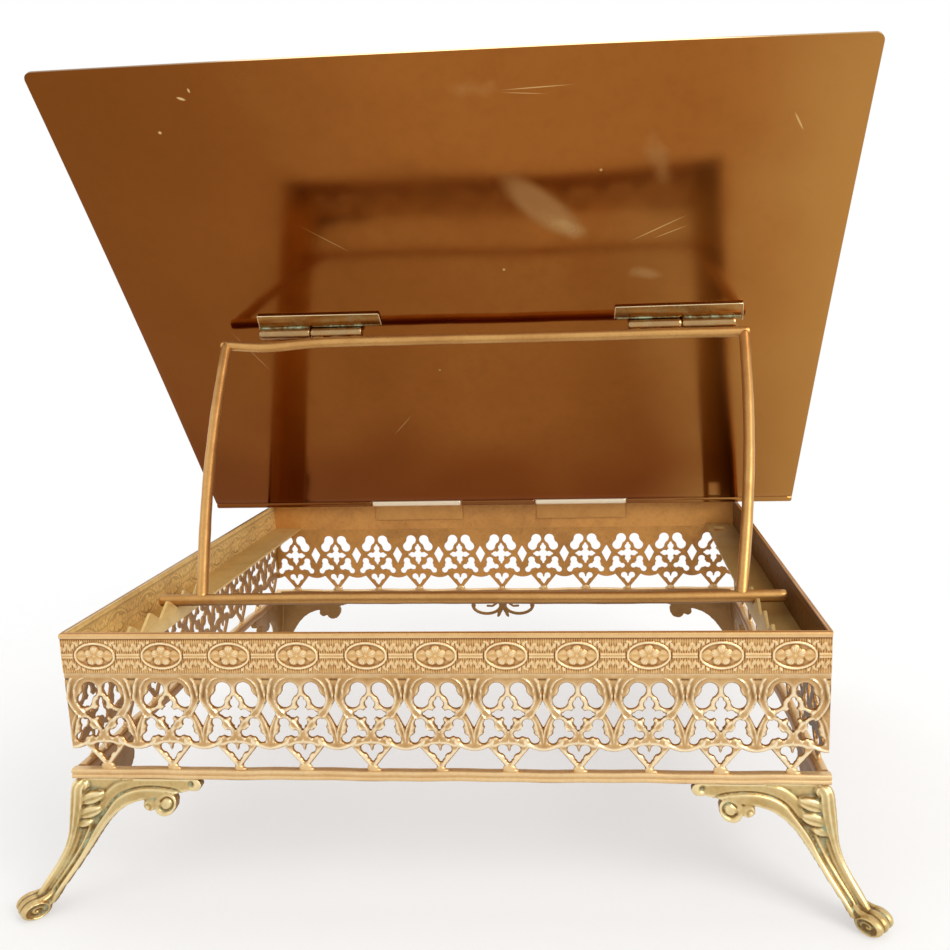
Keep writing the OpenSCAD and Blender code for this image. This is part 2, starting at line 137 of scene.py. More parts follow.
class Graph:
    """Adds nodes to one node tree."""

    def __init__(self, tree: bpy.types.NodeTree) -> None:
        """Start from an empty tree."""
        self.tree = tree
        tree.nodes.clear()

    def node(self, kind: str, settings: Optional[dict] = None, inputs: Optional[dict] = None,
             output: Union[int, str] = 0) -> Signal:
        """Add a node.

        Args:
            kind: The node's type.
            settings: Attributes of the node, set first.
            inputs: Values or signals by socket name or number.
            output: Which output is wanted, by its name or number.

        Returns:
            The output as a signal.
        """
        made = self.tree.nodes.new(kind)
        for key, value in (settings or {}).items():
            setattr(made, key, value)
        for key, value in (inputs or {}).items():
            if isinstance(value, Signal):
                self.tree.links.new(value.socket, made.inputs[key])
            else:
                made.inputs[key].default_value = value
        return Signal(self, made.outputs[output] if made.outputs else None)

    def blend(self, factor: object, first: object, second: object) -> Signal:
        """Mix two colours by a factor."""
        return self.node("ShaderNodeMix", {"data_type": "RGBA"}, {0: factor, 6: first, 7: second}, 2)

    def vector(self, operation: str, first: object, second: object) -> Signal:
        """Combine two vectors."""
        return self.node("ShaderNodeVectorMath", {"operation": operation}, {0: first, 1: second})

    def noise(self, at: Signal, scale: float, detail: float = 3.0, rough: float = 0.55,
              twist: float = 0.0) -> Signal:
        """Add a noise whose scale counts per metre."""
        return self.node("ShaderNodeTexNoise", {}, {
            "Vector": at, "Scale": scale, "Detail": detail, "Roughness": rough, "Distortion": twist})

    def place(self, scale: Numbers = (1, 1, 1), turn: Numbers = (0, 0, 0),
              shift: Numbers = (0, 0, 0)) -> Signal:
        """Give the object's coordinates, stretched, turned and shifted.

        Args:
            scale: The length that counts as 1 along each axis, in metres.
            turn: The turn of the axes.
            shift: The place that counts as 0.

        Returns:
            The coordinates.
        """
        at = self.node("ShaderNodeTexCoord", {}, {}, 3)
        return self.node("ShaderNodeMapping", {"vector_type": "TEXTURE"}, {
            "Vector": at, "Location": shift, "Rotation": turn, "Scale": scale})


@dataclass(frozen=True)
class Brass:
    """One brass finish: its colours, its gloss, what age has done to it and the painted shade of its inner
    faces.
    """

    slot: str
    body: Colour
    bright: Colour
    hollow: Colour
    stain: Colour
    gloss: float
    dull: float
    staining: float = 0.5
    stain_scale: float = 45.0
    green: float = 0.0
    grain: float = 0.25
    grain_scale: float = 900.0
    name: str = ""
    film: float = 0.0
    # Colours of the unpolished inner faces, lit and in painted shade.
    inside: Colour = (0.5, 0.3, 0.1, 1.0)
    shaded: Colour = (0.15, 0.08, 0.02, 1.0)

    def material(self) -> bpy.types.Material:
        """Make the finish's material once and share it.

        Returns:
            The material of this finish.
        """
        name = f"aged_{self.name or self.slot}"
        known = bpy.data.materials.get(name)
        return known if known else self._make(name)

    def wear_and_painted_light(self, graph: Graph, colour: Signal, rough: Signal) -> tuple[Signal, Signal]:
        """Add the marks that only this finish has; plain brass has none."""
        return colour, rough

    def _make(self, name: str) -> bpy.types.Material:
        """Build the nodes.

        Args:
            name: The name of the new material.

        Returns:
            The new material.
        """
        made = bpy.data.materials.new(name)
        made.use_nodes = True
        graph = Graph(made.node_tree)
        at = graph.place()
        tone = graph.node("ShaderNodeAttribute", {"attribute_name": TONE}, {}, 2)
        cloud = graph.noise(at, self.stain_scale, 5.0, 0.6, 0.6).spread(0.38, 0.72)
        fleck = graph.noise(at, self.stain_scale * 14, 3.0, 0.65).spread(0.42, 0.75)
        down = tone * -1.0
        deep, high = down.spread(0.0, 1.0), tone.spread(0.1, 1.0)
        colour = graph.blend(cloud * self.staining, self.body, self.stain)
        colour = graph.blend(fleck * (0.3 * self.staining), colour, self.hollow)
        colour = graph.blend(deep * 0.8, colour, self.hollow)
        colour = graph.blend(high * 0.75, colour, self.bright)
        # Below -1 the tone turns to the unpolished inner colours, and below -1.5 towards their painted
        # shade.
        bare = down.spread(1.05, 1.5)
        behind = graph.blend(down.spread(1.5, 2.5), self.inside, self.shaded)
        behind = graph.blend(cloud * 0.3 + fleck * 0.2, behind, self.hollow)
        colour = graph.blend(bare, colour, behind)
        span = self.dull - self.gloss
        rough = self.gloss + cloud * (0.5 * span) + deep * (0.6 * span)
        metal = (1.0 - bare * 0.6) * (1.0 - self.film)
        if self.green:
            crust = graph.noise(at, 160.0, 5.0, 0.7, 0.8).spread(0.6 - 0.14 * self.green, 0.74)
            crust = crust * (0.12 + deep * 0.88) * (1.0 - bare) * self.green
            colour = graph.blend(crust, colour, VERDIGRIS)
            rough = rough + crust * 0.35
            metal = metal - crust * (0.75 * (1.0 - self.film))
        colour, rough = self.wear_and_painted_light(graph, colour, rough)
        height = graph.noise(at, self.grain_scale, 4.0, 0.6) * self.grain
        bump = graph.node("ShaderNodeBump", {}, {"Strength": 0.35, "Distance": 0.0002, "Height": height})
        shader = graph.node("ShaderNodeBsdfPrincipled", {}, {
            "Base Color": colour, "Metallic": metal, "Roughness": rough, "Normal": bump})
        graph.node("ShaderNodeOutputMaterial", {}, {"Surface": shader})
        return made


@dataclass(frozen=True)
class Mark:
    """A scratch, speck or hazy rub on the plate's back, in millimetres across and up the plate."""

    across: float
    up: float
    length: float
    width: float
    turn: float
    pale: float
    dull: float = 0.0
    edge: float = 0.5


@dataclass(frozen=True)
class Polished(Brass):
    """Polished sheet with its own scratches and rubs, with painted shade towards one side, painted light
    towards the other and a darker lower part.
    """

    marks: tuple[Mark, ...] = ()
    shade_side: Colour = (0.0, 0.0, 0.0, 1.0)
    light_side: Colour = (0.0, 0.0, 0.0, 1.0)
    low_part: Colour = (0.0, 0.0, 0.0, 1.0)

    def wear_and_painted_light(self, graph: Graph, colour: Signal, rough: Signal) -> tuple[Signal, Signal]:
        """Add the painted shade and painted light across the sheet, its darker lower part and the single
        marks.

        Args:
            graph: The material's nodes.
            colour: The colour so far.
            rough: The roughness so far.

        Returns:
            The new colour and roughness.
        """
        at = graph.place()
        across = graph.node("ShaderNodeSeparateXYZ", {}, {0: at}, 0)
        up = graph.node("ShaderNodeSeparateXYZ", {}, {0: at}, 2)
        drift = graph.noise(at, 9.0, 2.0, 0.5) * 0.16 - 0.08
        # Painted shade towards +x, painted light towards -x, and a darker lower part.
        for share, depth, part in (((0.2 - up + drift).spread(0.0, 0.09), 0.85, self.low_part),
                                   ((across + drift).spread(-0.02, 0.17), 0.75, self.shade_side),
                                   ((drift - across).spread(0.07, 0.16), 0.7, self.light_side)):
            colour = graph.blend(share * depth, colour, part)
        for mark in self.marks:
            turned = (SIZES.on_plate() @ Matrix.Translation((mark.across, mark.up, -SIZES.plate_t / 2))
                      @ Matrix.Rotation(math.radians(mark.turn), 4, "Z"))
            size = mark.length * MM, mark.width * MM, MARK_DEPTH * MM
            spot = graph.place(size, turned.to_euler(), turned.translation * MM)
            if mark.edge > RAGGED_EDGE:
                ragged = graph.node("ShaderNodeTexNoise", {}, {
                    "Vector": at, "Scale": 120.0, "Detail": 4.0}, 1)
                spot = graph.vector("ADD", spot, ragged)
                spot = graph.vector("SUBTRACT", spot, (0.5, 0.5, 0.5))
            far = graph.node("ShaderNodeVectorMath", {"operation": "LENGTH"}, {0: spot}, 1)
            mask = 1.0 - far.spread(1.0 - mark.edge, 1.0)
            colour = graph.blend(mask * mark.pale, colour, self.bright)
            rough = rough + mask * mark.dull
        return colour, rough


MARKS = (
    Mark(-34, 182, 25, 9, 41, 0.26, 0.12, 0.55), Mark(-44, 172, 12, 5, 30, 0.25, 0.1, 0.8),
    Mark(-35, 231, 19, 0.35, -2, 0.6), Mark(-30, 229, 12, 0.25, 4, 0.5), Mark(-83, 170, 15, 0.3, -26, 0.55),
    Mark(-88, 168, 9, 0.25, -22, 0.5), Mark(-135, 214, 5, 0.5, 60, 0.5), Mark(103, 233, 2.2, 0.7, 20, 0.8),
    Mark(99, 236, 1.2, 0.6, 80, 0.7), Mark(116, 220, 0.9, 0.8, 0, 0.7),
    Mark(-78, 148, 9, 4, 10, 0.2, 0.1, 0.8),
    Mark(-10, 232, 16, 5, 0, 0.12, 0.08, 0.8), Mark(-82, 200, 14, 6, 70, 0.12, 0.08, 0.8),
    Mark(-59, 197, 0.8, 0.8, 0, 0.7), Mark(-16, 152, 0.8, 0.8, 0, 0.6), Mark(20, 96, 0.6, 0.6, 0, 0.5),
    Mark(60, 170, 14, 0.25, 35, 0.35), Mark(44, 60, 10, 0.25, -50, 0.3), Mark(-120, 120, 12, 0.25, 75, 0.35),
    Mark(110, 110, 16, 0.25, 62, 0.3))
STAMPED = Brass("stamped_brass", paint(224, 180, 118), paint(255, 242, 204), paint(124, 70, 24),
                paint(198, 144, 78), gloss=0.34, dull=0.5, staining=0.45, stain_scale=38.0, film=0.3,
                inside=paint(222, 158, 80), shaded=paint(104, 68, 28))
# A copy of the stamped finish whose inner faces take painted light, for the right side's frieze.
LIT_FRIEZE = replace(STAMPED, name="lit_frieze_brass", inside=paint(255, 222, 148))
PIERCED = Brass("pierced_brass", paint(209, 169, 116), paint(255, 240, 204), paint(94, 56, 22),
                paint(184, 132, 70), gloss=0.32, dull=0.5, staining=0.55, stain_scale=42.0, green=0.15,
                grain=0.3, grain_scale=800.0, film=0.15, inside=paint(212, 150, 74),
                shaded=paint(104, 74, 34))
REEDED = Brass("rail_brass", paint(227, 193, 140), paint(255, 244, 210), paint(134, 84, 38),
               paint(204, 154, 90), gloss=0.34, dull=0.5, staining=0.45, stain_scale=40.0, green=0.25,
               film=0.35)
CAST = Brass("cast_brass", paint(210, 181, 124), paint(250, 230, 180), paint(92, 60, 22),
             paint(172, 138, 76), gloss=0.34, dull=0.55, staining=0.55, stain_scale=60.0, green=1.15,
             grain=0.5, grain_scale=700.0, inside=paint(152, 110, 56), shaded=paint(86, 54, 22))
RACK = Brass("rack_brass", paint(228, 194, 122), paint(248, 226, 170), paint(120, 88, 42),
             paint(198, 162, 94), gloss=0.4, dull=0.55, stain_scale=50.0, green=0.2, film=0.65)
HINGE = Brass("hinge_brass", paint(162, 116, 60), paint(250, 232, 188), paint(104, 78, 40),
              paint(134, 92, 46), gloss=0.2, dull=0.42, staining=0.6, stain_scale=70.0, green=1.2)
# Its bright colour serves as the painted highlight of the frame hinge's knuckles.
STRAP = Brass("hinge_brass", paint(200, 144, 74), paint(255, 246, 220), paint(116, 68, 26),
              paint(178, 120, 56), gloss=0.3, dull=0.5, stain_scale=60.0, name="frame_hinge_brass", film=0.6)
PIN = Brass("pin_brass", paint(170, 134, 74), paint(220, 186, 120), paint(90, 60, 26),
            paint(140, 100, 50), gloss=0.3, dull=0.5)
ROD = Brass("rod_brass", paint(204, 156, 92), paint(252, 224, 166), paint(108, 66, 26),
            paint(176, 124, 64), gloss=0.34, dull=0.5, stain_scale=60.0, green=0.05, grain_scale=800.0,
            film=0.2)
PLATE = Polished("plate_brass", paint(154, 93, 39), paint(232, 196, 132), paint(100, 54, 18),
                 paint(136, 76, 28), gloss=0.1, dull=0.2, staining=0.35, stain_scale=14.0,
                 grain=0.05, grain_scale=700.0, marks=MARKS, shade_side=paint(110, 58, 19),
                 light_side=paint(182, 132, 68), low_part=paint(114, 54, 15))


class Body(Enum):
    """The three bodies that pieces ride on."""

    FRAME = "frame"
    PLATE = "plate"
    PROP = "prop"


class Side(Enum):
    """The four sides of the frame."""

    BACK = "back"
    FRONT = "front"
    LEFT = "left"
    RIGHT = "right"


# Tones of the inner faces: below -1 the metal is unpolished, and towards -2.5 it takes painted shade,
# deepest on the left side.
FRIEZE_INSIDE = {Side.BACK: -2.0, Side.FRONT: -1.75, Side.LEFT: -2.6, Side.RIGHT: -1.72}
GALLERY_INSIDE = {Side.BACK: -2.0, Side.FRONT: -1.75, Side.LEFT: -2.6, Side.RIGHT: -2.1}


@dataclass(frozen=True)
class Sizes:
    """Sizes that several sub-assemblies share, as the CAD frame has them."""

    unit: float = 24.0
    units_x: int = 11
    units_y: int = 9
    panel: float = 1.6
    leg: float = 45.0
    gallery: float = 48.8
    frieze: float = 84.8
    hinge_y: float = -100.5
    hinge_z: float = 101.2
    tilt: float = math.radians(54)
    plate_t: float = 1.4
    prop_up: float = 122.0
    prop_off: float = 3.3
    rod_y: float = 52.5
    rod_z: float = 93.69827

    @property
    def width(self) -> float:
        """Outside width of the frame."""
        return self.unit * self.units_x

    @property
    def depth(self) -> float:
        """Outside depth of the frame."""
        return self.unit * self.units_y

    @property
    def prop_y(self) -> float:
        """Place of the prop's hinge towards the back."""
        return self.hinge_y + self.prop_up * math.cos(self.tilt) + self.prop_off * math.sin(self.tilt)

    @property
    def prop_z(self) -> float:
        """Height of the prop's hinge."""
        return self.hinge_z + self.prop_up * math.sin(self.tilt) - self.prop_off * math.cos(self.tilt)

    def units(self, side: Side) -> int:
        """Count the gothic units along one side."""
        return self.units_x if side in (Side.BACK, Side.FRONT) else self.units_y

    def length(self, side: Side) -> float:
        """Give the length of the strips on one side."""
        return self.width if side in (Side.BACK, Side.FRONT) else self.depth - 2 * self.panel

    def strip(self, side: Side) -> Matrix:
        """Place a strip drawn with x along it, y up and z out of the frame.

        Args:
            side: The side of the frame that the strip lies on.

        Returns:
            The strip's matrix.
        """
        out_x, out_y = self.width / 2 - self.panel, self.depth / 2 - self.panel
        along, out, at = {
            Side.BACK: ((-1, 0, 0), (0, 1, 0), (0, out_y, 0)),
            Side.FRONT: ((1, 0, 0), (0, -1, 0), (0, -out_y, 0)),
            Side.LEFT: ((0, -1, 0), (-1, 0, 0), (-out_x, 0, 0)),
            Side.RIGHT: ((0, 1, 0), (1, 0, 0), (out_x, 0, 0)),
        }[side]
        return Matrix(((along[0], 0, out[0], at[0]), (along[1], 0, out[1], at[1]),
                       (0, 1, 0, 0), (0, 0, 0, 1)))

    def on_plate(self) -> Matrix:
        """Place a piece drawn on the plate: y up the plate, z out of its reading face."""
        return Matrix.Translation((0, self.hinge_y, self.hinge_z)) @ Matrix.Rotation(self.tilt, 4, "X")

    def on_prop(self) -> Matrix:
        """Place a piece drawn on the prop: y from its hinge to its foot rod."""
        lean = math.atan2(self.rod_z - self.prop_z, self.rod_y - self.prop_y)
        return Matrix.Translation((0, self.prop_y, self.prop_z)) @ Matrix.Rotation(lean, 4, "X")

    def prop_length(self) -> float:
        """Give the distance from the prop's hinge to its foot rod."""
        return math.hypot(self.rod_y - self.prop_y, self.rod_z - self.prop_z)


SIZES = Sizes()


def smooth(value: Array, low: float, high: float) -> Array:
    """Rise smoothly from 0 at low to 1 at high."""
    part = np.clip((value - low) / (high - low), 0, 1)
    return part * part * (3 - 2 * part)


def ridge(value: Array, width: float, at: float = 0.0) -> Array:
    """Give a soft ridge that is 1 where the value lies at a place."""
    return np.exp(-((value - at) / width) ** 2)


def vault(part: Array) -> Array:
    """Give a half round: 1 in its middle, 0 where the part is 1 or more on either side."""
    return np.sqrt(np.clip(1 - part ** 2, 0, 1))


def axes(x: Array, y: Array, at: Numbers, turn: float) -> tuple[Array, Array]:
    """Measure places along and across an axis that starts at a point and is turned by some degrees."""
    c, s = math.cos(math.radians(turn)), math.sin(math.radians(turn))
    return (x - at[0]) * c + (y - at[1]) * s, (y - at[1]) * c - (x - at[0]) * s


def dome(x: Array, y: Array, at: Numbers, half: Numbers, turn: float, rise: float) -> Array:
    """Give the height of an oval dome, 0 outside it.

    Args:
        x: Places along the strip.
        y: Places up the strip.
        at: Centre of the dome.
        half: Half of its length and half of its width.
        turn: Turn of its long axis, in degrees.
        rise: Its height.

    Returns:
        The height at each place.
    """
    run, off = axes(x, y, at, turn)
    return rise * np.sqrt(np.clip(1 - (run / half[0]) ** 2 - (off / half[1]) ** 2, 0, 1))


def leaf(x: Array, y: Array, at: Numbers, half: Numbers, turn: float, rise: float) -> Array:
    """Give the height of a pointed leaf with a vein along it, 0 outside it.

    Args:
        x: Places along the strip.
        y: Places up the strip.
        at: Middle of the leaf.
        half: Half of its length and half of its width.
        turn: Turn of its long axis, in degrees.
        rise: Its height.

    Returns:
        The height at each place.
    """
    run, off = axes(x, y, at, turn)
    reach = half[1] * np.clip(1 - (run / half[0]) ** 2, 0, 1) + 1e-6
    body = vault(off / reach) * (np.abs(run) < half[0])
    return rise * body * (1 - 0.4 * ridge(off, 0.22 * half[1]))


def segment(x: Array, y: Array, first: Numbers, last: Numbers) -> Array:
    """Give the distance from each place to a straight line between two points.

    Args:
        x: Places along the strip.
        y: Places up the strip.
        first: One end of the line.
        last: Its other end.

    Returns:
        The distance at each place.
    """
    run, rise = last[0] - first[0], last[1] - first[1]
    part = np.clip(((x - first[0]) * run + (y - first[1]) * rise) / (run * run + rise * rise), 0, 1)
    return np.hypot(x - first[0] - part * run, y - first[1] - part * rise)


def soften(values: Array, reach: int) -> Array:
    """Blur a field over its neighbours: round the strip, and up it with its edges held.

    Args:
        values: The field, by row and column.
        reach: How many neighbours count on each side.

    Returns:
        The blurred field.
    """
    span = range(-reach, reach + 1)
    across = sum(np.roll(values, step, axis=1) for step in span) / len(span)
    padded = np.pad(across, ((reach, reach), (0, 0)), mode="edge")
    return sum(padded[reach + step: reach + step + values.shape[0]] for step in span) / len(span)


def tone_of(high: Array, ground: Array, depth: float, level: float) -> Array:
    """Give the tones of a relief.

    Args:
        high: Its height.
        ground: The height that is blurred to find what stands out from it.
        depth: The step that counts as fully hollow or proud.
        level: The height above which the polish has reached everywhere.

    Returns:
        The tone at each place.
    """
    return np.clip((high - soften(ground, 4)) / depth + (high - level) * 0.35, -1, 1)


def as_mesh(form: Form, name: str) -> Mesh:
    """Turn a form into a mesh, and free it.

    Args:
        form: The form.
        name: The name of the new mesh.

    Returns:
        The mesh.
    """
    mesh = bpy.data.meshes.new(name)
    form.to_mesh(mesh)
    form.free()
    return mesh


def put(name: str, data: bpy.types.ID) -> bpy.types.Object:
    """Make an object from some data and link it to the scene.

    Args:
        name: The name of the object.
        data: Its mesh, lamp or camera.

    Returns:
        The object.
    """
    made = bpy.data.objects.new(name, data)
    bpy.context.scene.collection.objects.link(made)
    return made


class Workshop:
    """Turns shapes into pieces that ride on the stand's bodies."""

    def __init__(self) -> None:
        """Start with nothing made."""
        self.made: list[bpy.types.Object] = []

    def keep(self, name: str, shape: Union[Form, Mesh], finish: Brass, body: Body = Body.FRAME,
             place: Optional[Matrix] = None, crease: float = 35.0) -> None:
        """Finish a shape drawn in millimetres as a piece that stands for the CAD node of its name.

        Args:
            name: The name of the piece and of its node.
            shape: The drawn form, which is freed, or mesh.
            finish: Its finish.
            body: The body that it rides on.
            place: Where it goes.
            crease: Angle above which an edge is sharp, in degrees.
        """
        mesh = as_mesh(shape, name) if isinstance(shape, Form) else shape
        where = Matrix.Scale(MM, 4) @ (place or Matrix.Identity(4))
        mesh.transform(where)
        if where.determinant() < 0:
            mesh.flip_normals()
        mesh.polygons.foreach_set("use_smooth", np.ones(len(mesh.polygons), bool))
        mesh.set_sharp_from_angle(angle=math.radians(crease))
        mesh.materials.clear()
        mesh.materials.append(finish.material())
        piece = put(name, mesh)
        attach(piece, body.value)
        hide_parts(name)
        self.made.append(piece)
        log.info("%s: %d faces", name, len(mesh.polygons))


def level(items: Sequence[object], height: float) -> None:
    """Put the vertices among some geometry at one height.

    Args:
        items: The geometry.
        height: The height.
    """
    for item in items:
        if isinstance(item, Vert):
            item.co.z = height


def lift(form: Form, height: float) -> None:
    """Make a flat sheet solid: copy its faces to a height and wall its edges."""
    level(bmesh.ops.extrude_face_region(form, geom=form.faces[:], use_keep_orig=True)["geom"], height)


def boundary(form: Form) -> list[Edge]:
    """List the open edges of a form."""
    return [edge for edge in form.edges if edge.is_boundary]


def outward(form: Form) -> Form:
    """Turn a form's faces outwards."""
    bmesh.ops.recalc_face_normals(form, faces=form.faces[:])
    return form


def moved(form: Form, matrix: Matrix) -> Form:
    """Move, turn or mirror a form, and turn its faces outwards."""
    bmesh.ops.transform(form, matrix=matrix, verts=form.verts[:])
    return outward(form)


def standing(x: float = 0.0, z: float = 0.0) -> Matrix:
    """Stand a flat drawing up: its x runs to the back, its y up and its thickness across."""
    return Matrix(((0, 0, 1, x), (1, 0, 0, 0), (0, 1, 0, z), (0, 0, 0, 1)))


def soften_edges(form: Form, edges: Sequence[Edge], by: float, segments: int) -> None:
    """Round some edges of a form."""
    bmesh.ops.bevel(form, geom=edges, offset=by, offset_type="OFFSET", segments=segments, profile=0.5,
                    affect="EDGES", material=-1, clamp_overlap=True)


def trim(form: Form, stay: Array) -> None:
    """Delete the faces of a unit grid that a mask of its rows and columns doesn't keep.

    Args:
        form: The grid.
        stay: The mask, by row and column.
    """
    rows, columns = stay.shape
    gone = []
    for face in form.faces:
        at = face.calc_center_median()
        if not stay[int((at.y + 0.5) * rows), int((at.x + 0.5) * columns)]:
            gone.append(face)
    bmesh.ops.delete(form, geom=gone, context="FACES")


def cells(points: Array, rows: int, columns: int) -> tuple[Array, Array]:
    """Tell the row and the column of a unit grid that each point lies on."""
    row = np.rint((points[:, 1] + 0.5) * rows).astype(int)
    return row, np.rint((points[:, 0] + 0.5) * columns).astype(int)


def grid(columns: int, rows: int) -> Form:
    """Make a flat grid of one unit square.

    Args:
        columns: Faces along x.
        rows: Faces along y.

    Returns:
        The grid.
    """
    form = bmesh.new()
    bmesh.ops.create_grid(form, x_segments=columns, y_segments=rows, size=0.5)
    return form


def set_tone(mesh: Mesh, tone: Array) -> None:
    """Store how hollow (-1) or proud (1) each vertex is."""
    layer = mesh.attributes.get(TONE) or mesh.attributes.new(TONE, "FLOAT", "POINT")
    layer.data.foreach_set("value", np.ascontiguousarray(tone, np.float32))


def read_points(mesh: Mesh) -> Array:
    """Read a mesh's vertices as an array.

    Args:
        mesh: The mesh.

    Returns:
        A row of three numbers for each vertex.
    """
    points = np.empty(len(mesh.vertices) * 3, np.float32)
    mesh.vertices.foreach_get("co", points)
    return points.reshape(-1, 3)


def write_points(mesh: Mesh, points: Array) -> None:
    """Write an array back to a mesh's vertices."""
    mesh.vertices.foreach_set("co", np.ascontiguousarray(points, np.float32).ravel())
    mesh.update()


# Leaves beside a medallion: place from the middle of the gap, half size and turn.
SPRIG = (((0.0, 2.5), (1.5, 0.62), 90), ((1.5, 2.7), (1.7, 0.6), 62), ((3.0, 3.0), (1.7, 0.62), 112),
         ((4.4, 3.5), (1.5, 0.6), 58), ((5.9, 4.1), (1.3, 0.55), 120), ((7.4, 4.7), (1.0, 0.45), 60),
         ((2.2, 4.2), (0.7, 0.4), 20), ((5.0, 4.8), (0.7, 0.35), -20))
# Directions of the flower's petals, in degrees.
PETALS = (90, 162, 234, 306, 18)


@dataclass
class Friezes:
    """The four stamped strips: oval flower medallions with leaf sprigs between them."""

    shop: Workshop
    high: float = 14.2
    columns: int = 96
    rows: int = 52
    middle: float = 6.15
    medal: Pair = (7.45, 4.95)
    rim_in: float = 0.42
    rim_half: float = 0.4
    rim_rise: float = 0.52
    petal_at: Pair = (1.95, 1.9)
    petal: Pair = (1.85, 1.62)
    petal_rise: float = 0.6
    bud: float = 0.95
    bud_rise: float = 0.62
    leaf_rise: float = 0.46
    hatch: float = 0.22
    hatch_step: float = 0.8
    bead: float = 1.8
    bead_rise: float = 0.62

    def height(self, x: Array, y: Array) -> Array:
        """Give the relief of one unit.

        Args:
            x: Places along the unit, from its middle.
            y: Places up the strip.

        Returns:
            How far the surface stands out from the plain strip.
        """
        v = y - self.middle
        a, b = self.medal
        around = np.sqrt((x / a) ** 2 + (v / b) ** 2) + 1e-6
        slope = np.hypot(x / a ** 2, v / b ** 2) / around
        edge = (around - 1) / slope
        high = self.hatch * np.cos(2 * np.pi * x / self.hatch_step) + 0.06
        gap = SIZES.unit / 2 - np.abs(x)
        outside = smooth(edge, 0.1, 0.5)
        ribs = np.maximum(*(dome(gap, v, (0, up), (30, 0.42), 0, 0.4) for up in (0.5, -0.5)))
        high = np.maximum(high, ribs * outside * (np.abs(v) < 1.1))
        for turn in (1, -1):
            for at, half, tip in SPRIG:
                high = np.maximum(high, leaf(gap, turn * v, at, half, tip, self.leaf_rise) * outside)
        petals = 0.12 * np.clip(1 - around, 0, 1) - 0.06
        for turn in (1, -1):
            petals = np.maximum(petals, leaf(x * turn, v, (4.7, 0), (2.1, 2.1), 0, 0.4))
        away, bearing = np.hypot(x, v), np.arctan2(v, x)
        lines = 0.1 * np.cos(bearing * 20) * smooth(away, 0.8, 1.2) * (1 - smooth(away, 2.6, 3.5))
        for turn in PETALS:
            c, s = math.cos(math.radians(turn)), math.sin(math.radians(turn))
            at = self.petal_at[0] * c, self.petal_at[1] * s
            petal = dome(x, v, at, self.petal, turn, self.petal_rise)
            petals = np.where(petal > np.maximum(petals, 0.12), petal + lines, petals)
        petals = np.maximum(petals, dome(x, v, (0, 0), (self.bud, self.bud), 0, self.bud_rise))
        ground = smooth(edge, -0.95, -0.8)
        high = high * ground + petals * (1 - ground)
        high = np.maximum(high, self.rim_rise * vault((edge + self.rim_in) / self.rim_half))
        high = high - 0.14 * ridge(edge, 0.2, 0.15)
        lip = self.high - self.bead
        top = self.bead_rise * smooth(y, lip - 0.15, lip + 0.25)
        top = top * (1 - 0.5 * smooth(y, self.high - 0.4, self.high))
        high = np.where(y > lip - 0.15, np.maximum(top, high * (1 - smooth(y, lip - 0.3, lip))), high)
        return high - 0.12 * ridge(y - lip, 0.2, -0.3)

    def build(self, side: Side) -> None:
        """Make one strip.

        Args:
            side: The side of the frame.
        """
        count, length = SIZES.units(side), SIZES.length(side)
        columns = count * self.columns
        form = grid(columns, self.rows)
        pressed = side in (Side.LEFT, Side.RIGHT)
        if pressed:
            lift(form, -1)
        else:
            skirt = bmesh.ops.extrude_edge_only(form, edges=boundary(form))["geom"]
            level(skirt, -1)
            hem = [item for item in skirt if isinstance(item, Edge)]
            bmesh.ops.contextual_create(form, geom=hem)
        name = f"{side.value}_frieze"
        mesh = as_mesh(outward(form), name)
        points = read_points(mesh)
        row, col = cells(points, self.rows, columns)
        front = points[:, 2] > -0.5
        cell_x = (np.arange(self.columns) / self.columns - 0.5) * SIZES.unit
        cell_y = np.arange(self.rows + 1) / self.rows * self.high
        relief = self.height(*np.meshgrid(cell_x, cell_y))
        tone = tone_of(relief, relief, depth=0.24, level=0.2)
        tone = tone * np.where(cell_y > self.high - self.bead, 0.4, 1.0)[:, None]
        points[:, 0] = np.clip((col / self.columns - count / 2) * SIZES.unit, -length / 2, length / 2)
        points[:, 1] = SIZES.frieze + row / self.rows * self.high
        at = row, col % self.columns
        hollow = 0.4 * soften(relief, 2) * pressed
        points[:, 2] = np.where(front, SIZES.panel + relief[at], hollow[at])
        write_points(mesh, points)
        # The inner face takes its side's painted shade, with the pressed pattern showing through on the left
        # and right sides.
        behind = FRIEZE_INSIDE[side] + 0.3 * pressed * tone
        set_tone(mesh, np.where(front, tone[at], behind[at]))
        # The right side's frieze takes painted light on its inner face.
        finish = LIT_FRIEZE if side is Side.RIGHT else STAMPED
        self.shop.keep(name, mesh, finish, place=SIZES.strip(side), crease=60)


# Rounds of the gallery's lights: middle and radius.
LOBES = (((3.7, -6.6), 2.75), ((6.0, -10.6), 2.6), ((0, -15.2), 2.35), ((0, -11.6), 1.7),
         ((3.4, -15.4), 1.6), ((0, -18.3), 1.65), ((6.7, -18.9), 1.9), ((6.3, -21.7), 2.35),
         ((8.9, -24.6), 1.6), ((3.1, -22.7), 1.45), ((2.2, -28.2), 1.75), ((0, -30.9), 1.45))
# Straight parts of the lights: two ends and half of the width.
SLITS = (((3.7, -6.6), (6.0, -10.6), 2.2), ((0, -11.6), (0, -9.7), 0.7), ((0, -18.3), (0, -20.6), 0.6),
         ((3.4, -15.4), (5.0, -15.4), 0.7), ((6.3, -21.7), (3.1, -22.7), 1.3),
         ((6.3, -21.7), (8.9, -24.6), 1.35), ((2.2, -28.2), (0, -30.9), 1.15), ((0, -30.9), (0, -32.4), 0.6))
# The onion band and the V between two bands: height and distance from the unit's middle or end.
ONION = ((0.0, 4.0), (-1.2, 6.2), (-2.5, 8.4), (-5, 10.0), (-9, 10.5), (-11, 10.1), (-13, 9.1), (-15, 7.6),
         (-17, 5.7), (-19, 3.8), (-21, 1.9), (-23, 0.0), (-24.5, -1.4))
FORK = ((-13, 5.0), (-16, 3.2), (-18.8, 1.85), (-22, 1.05), (-26, 0.45))


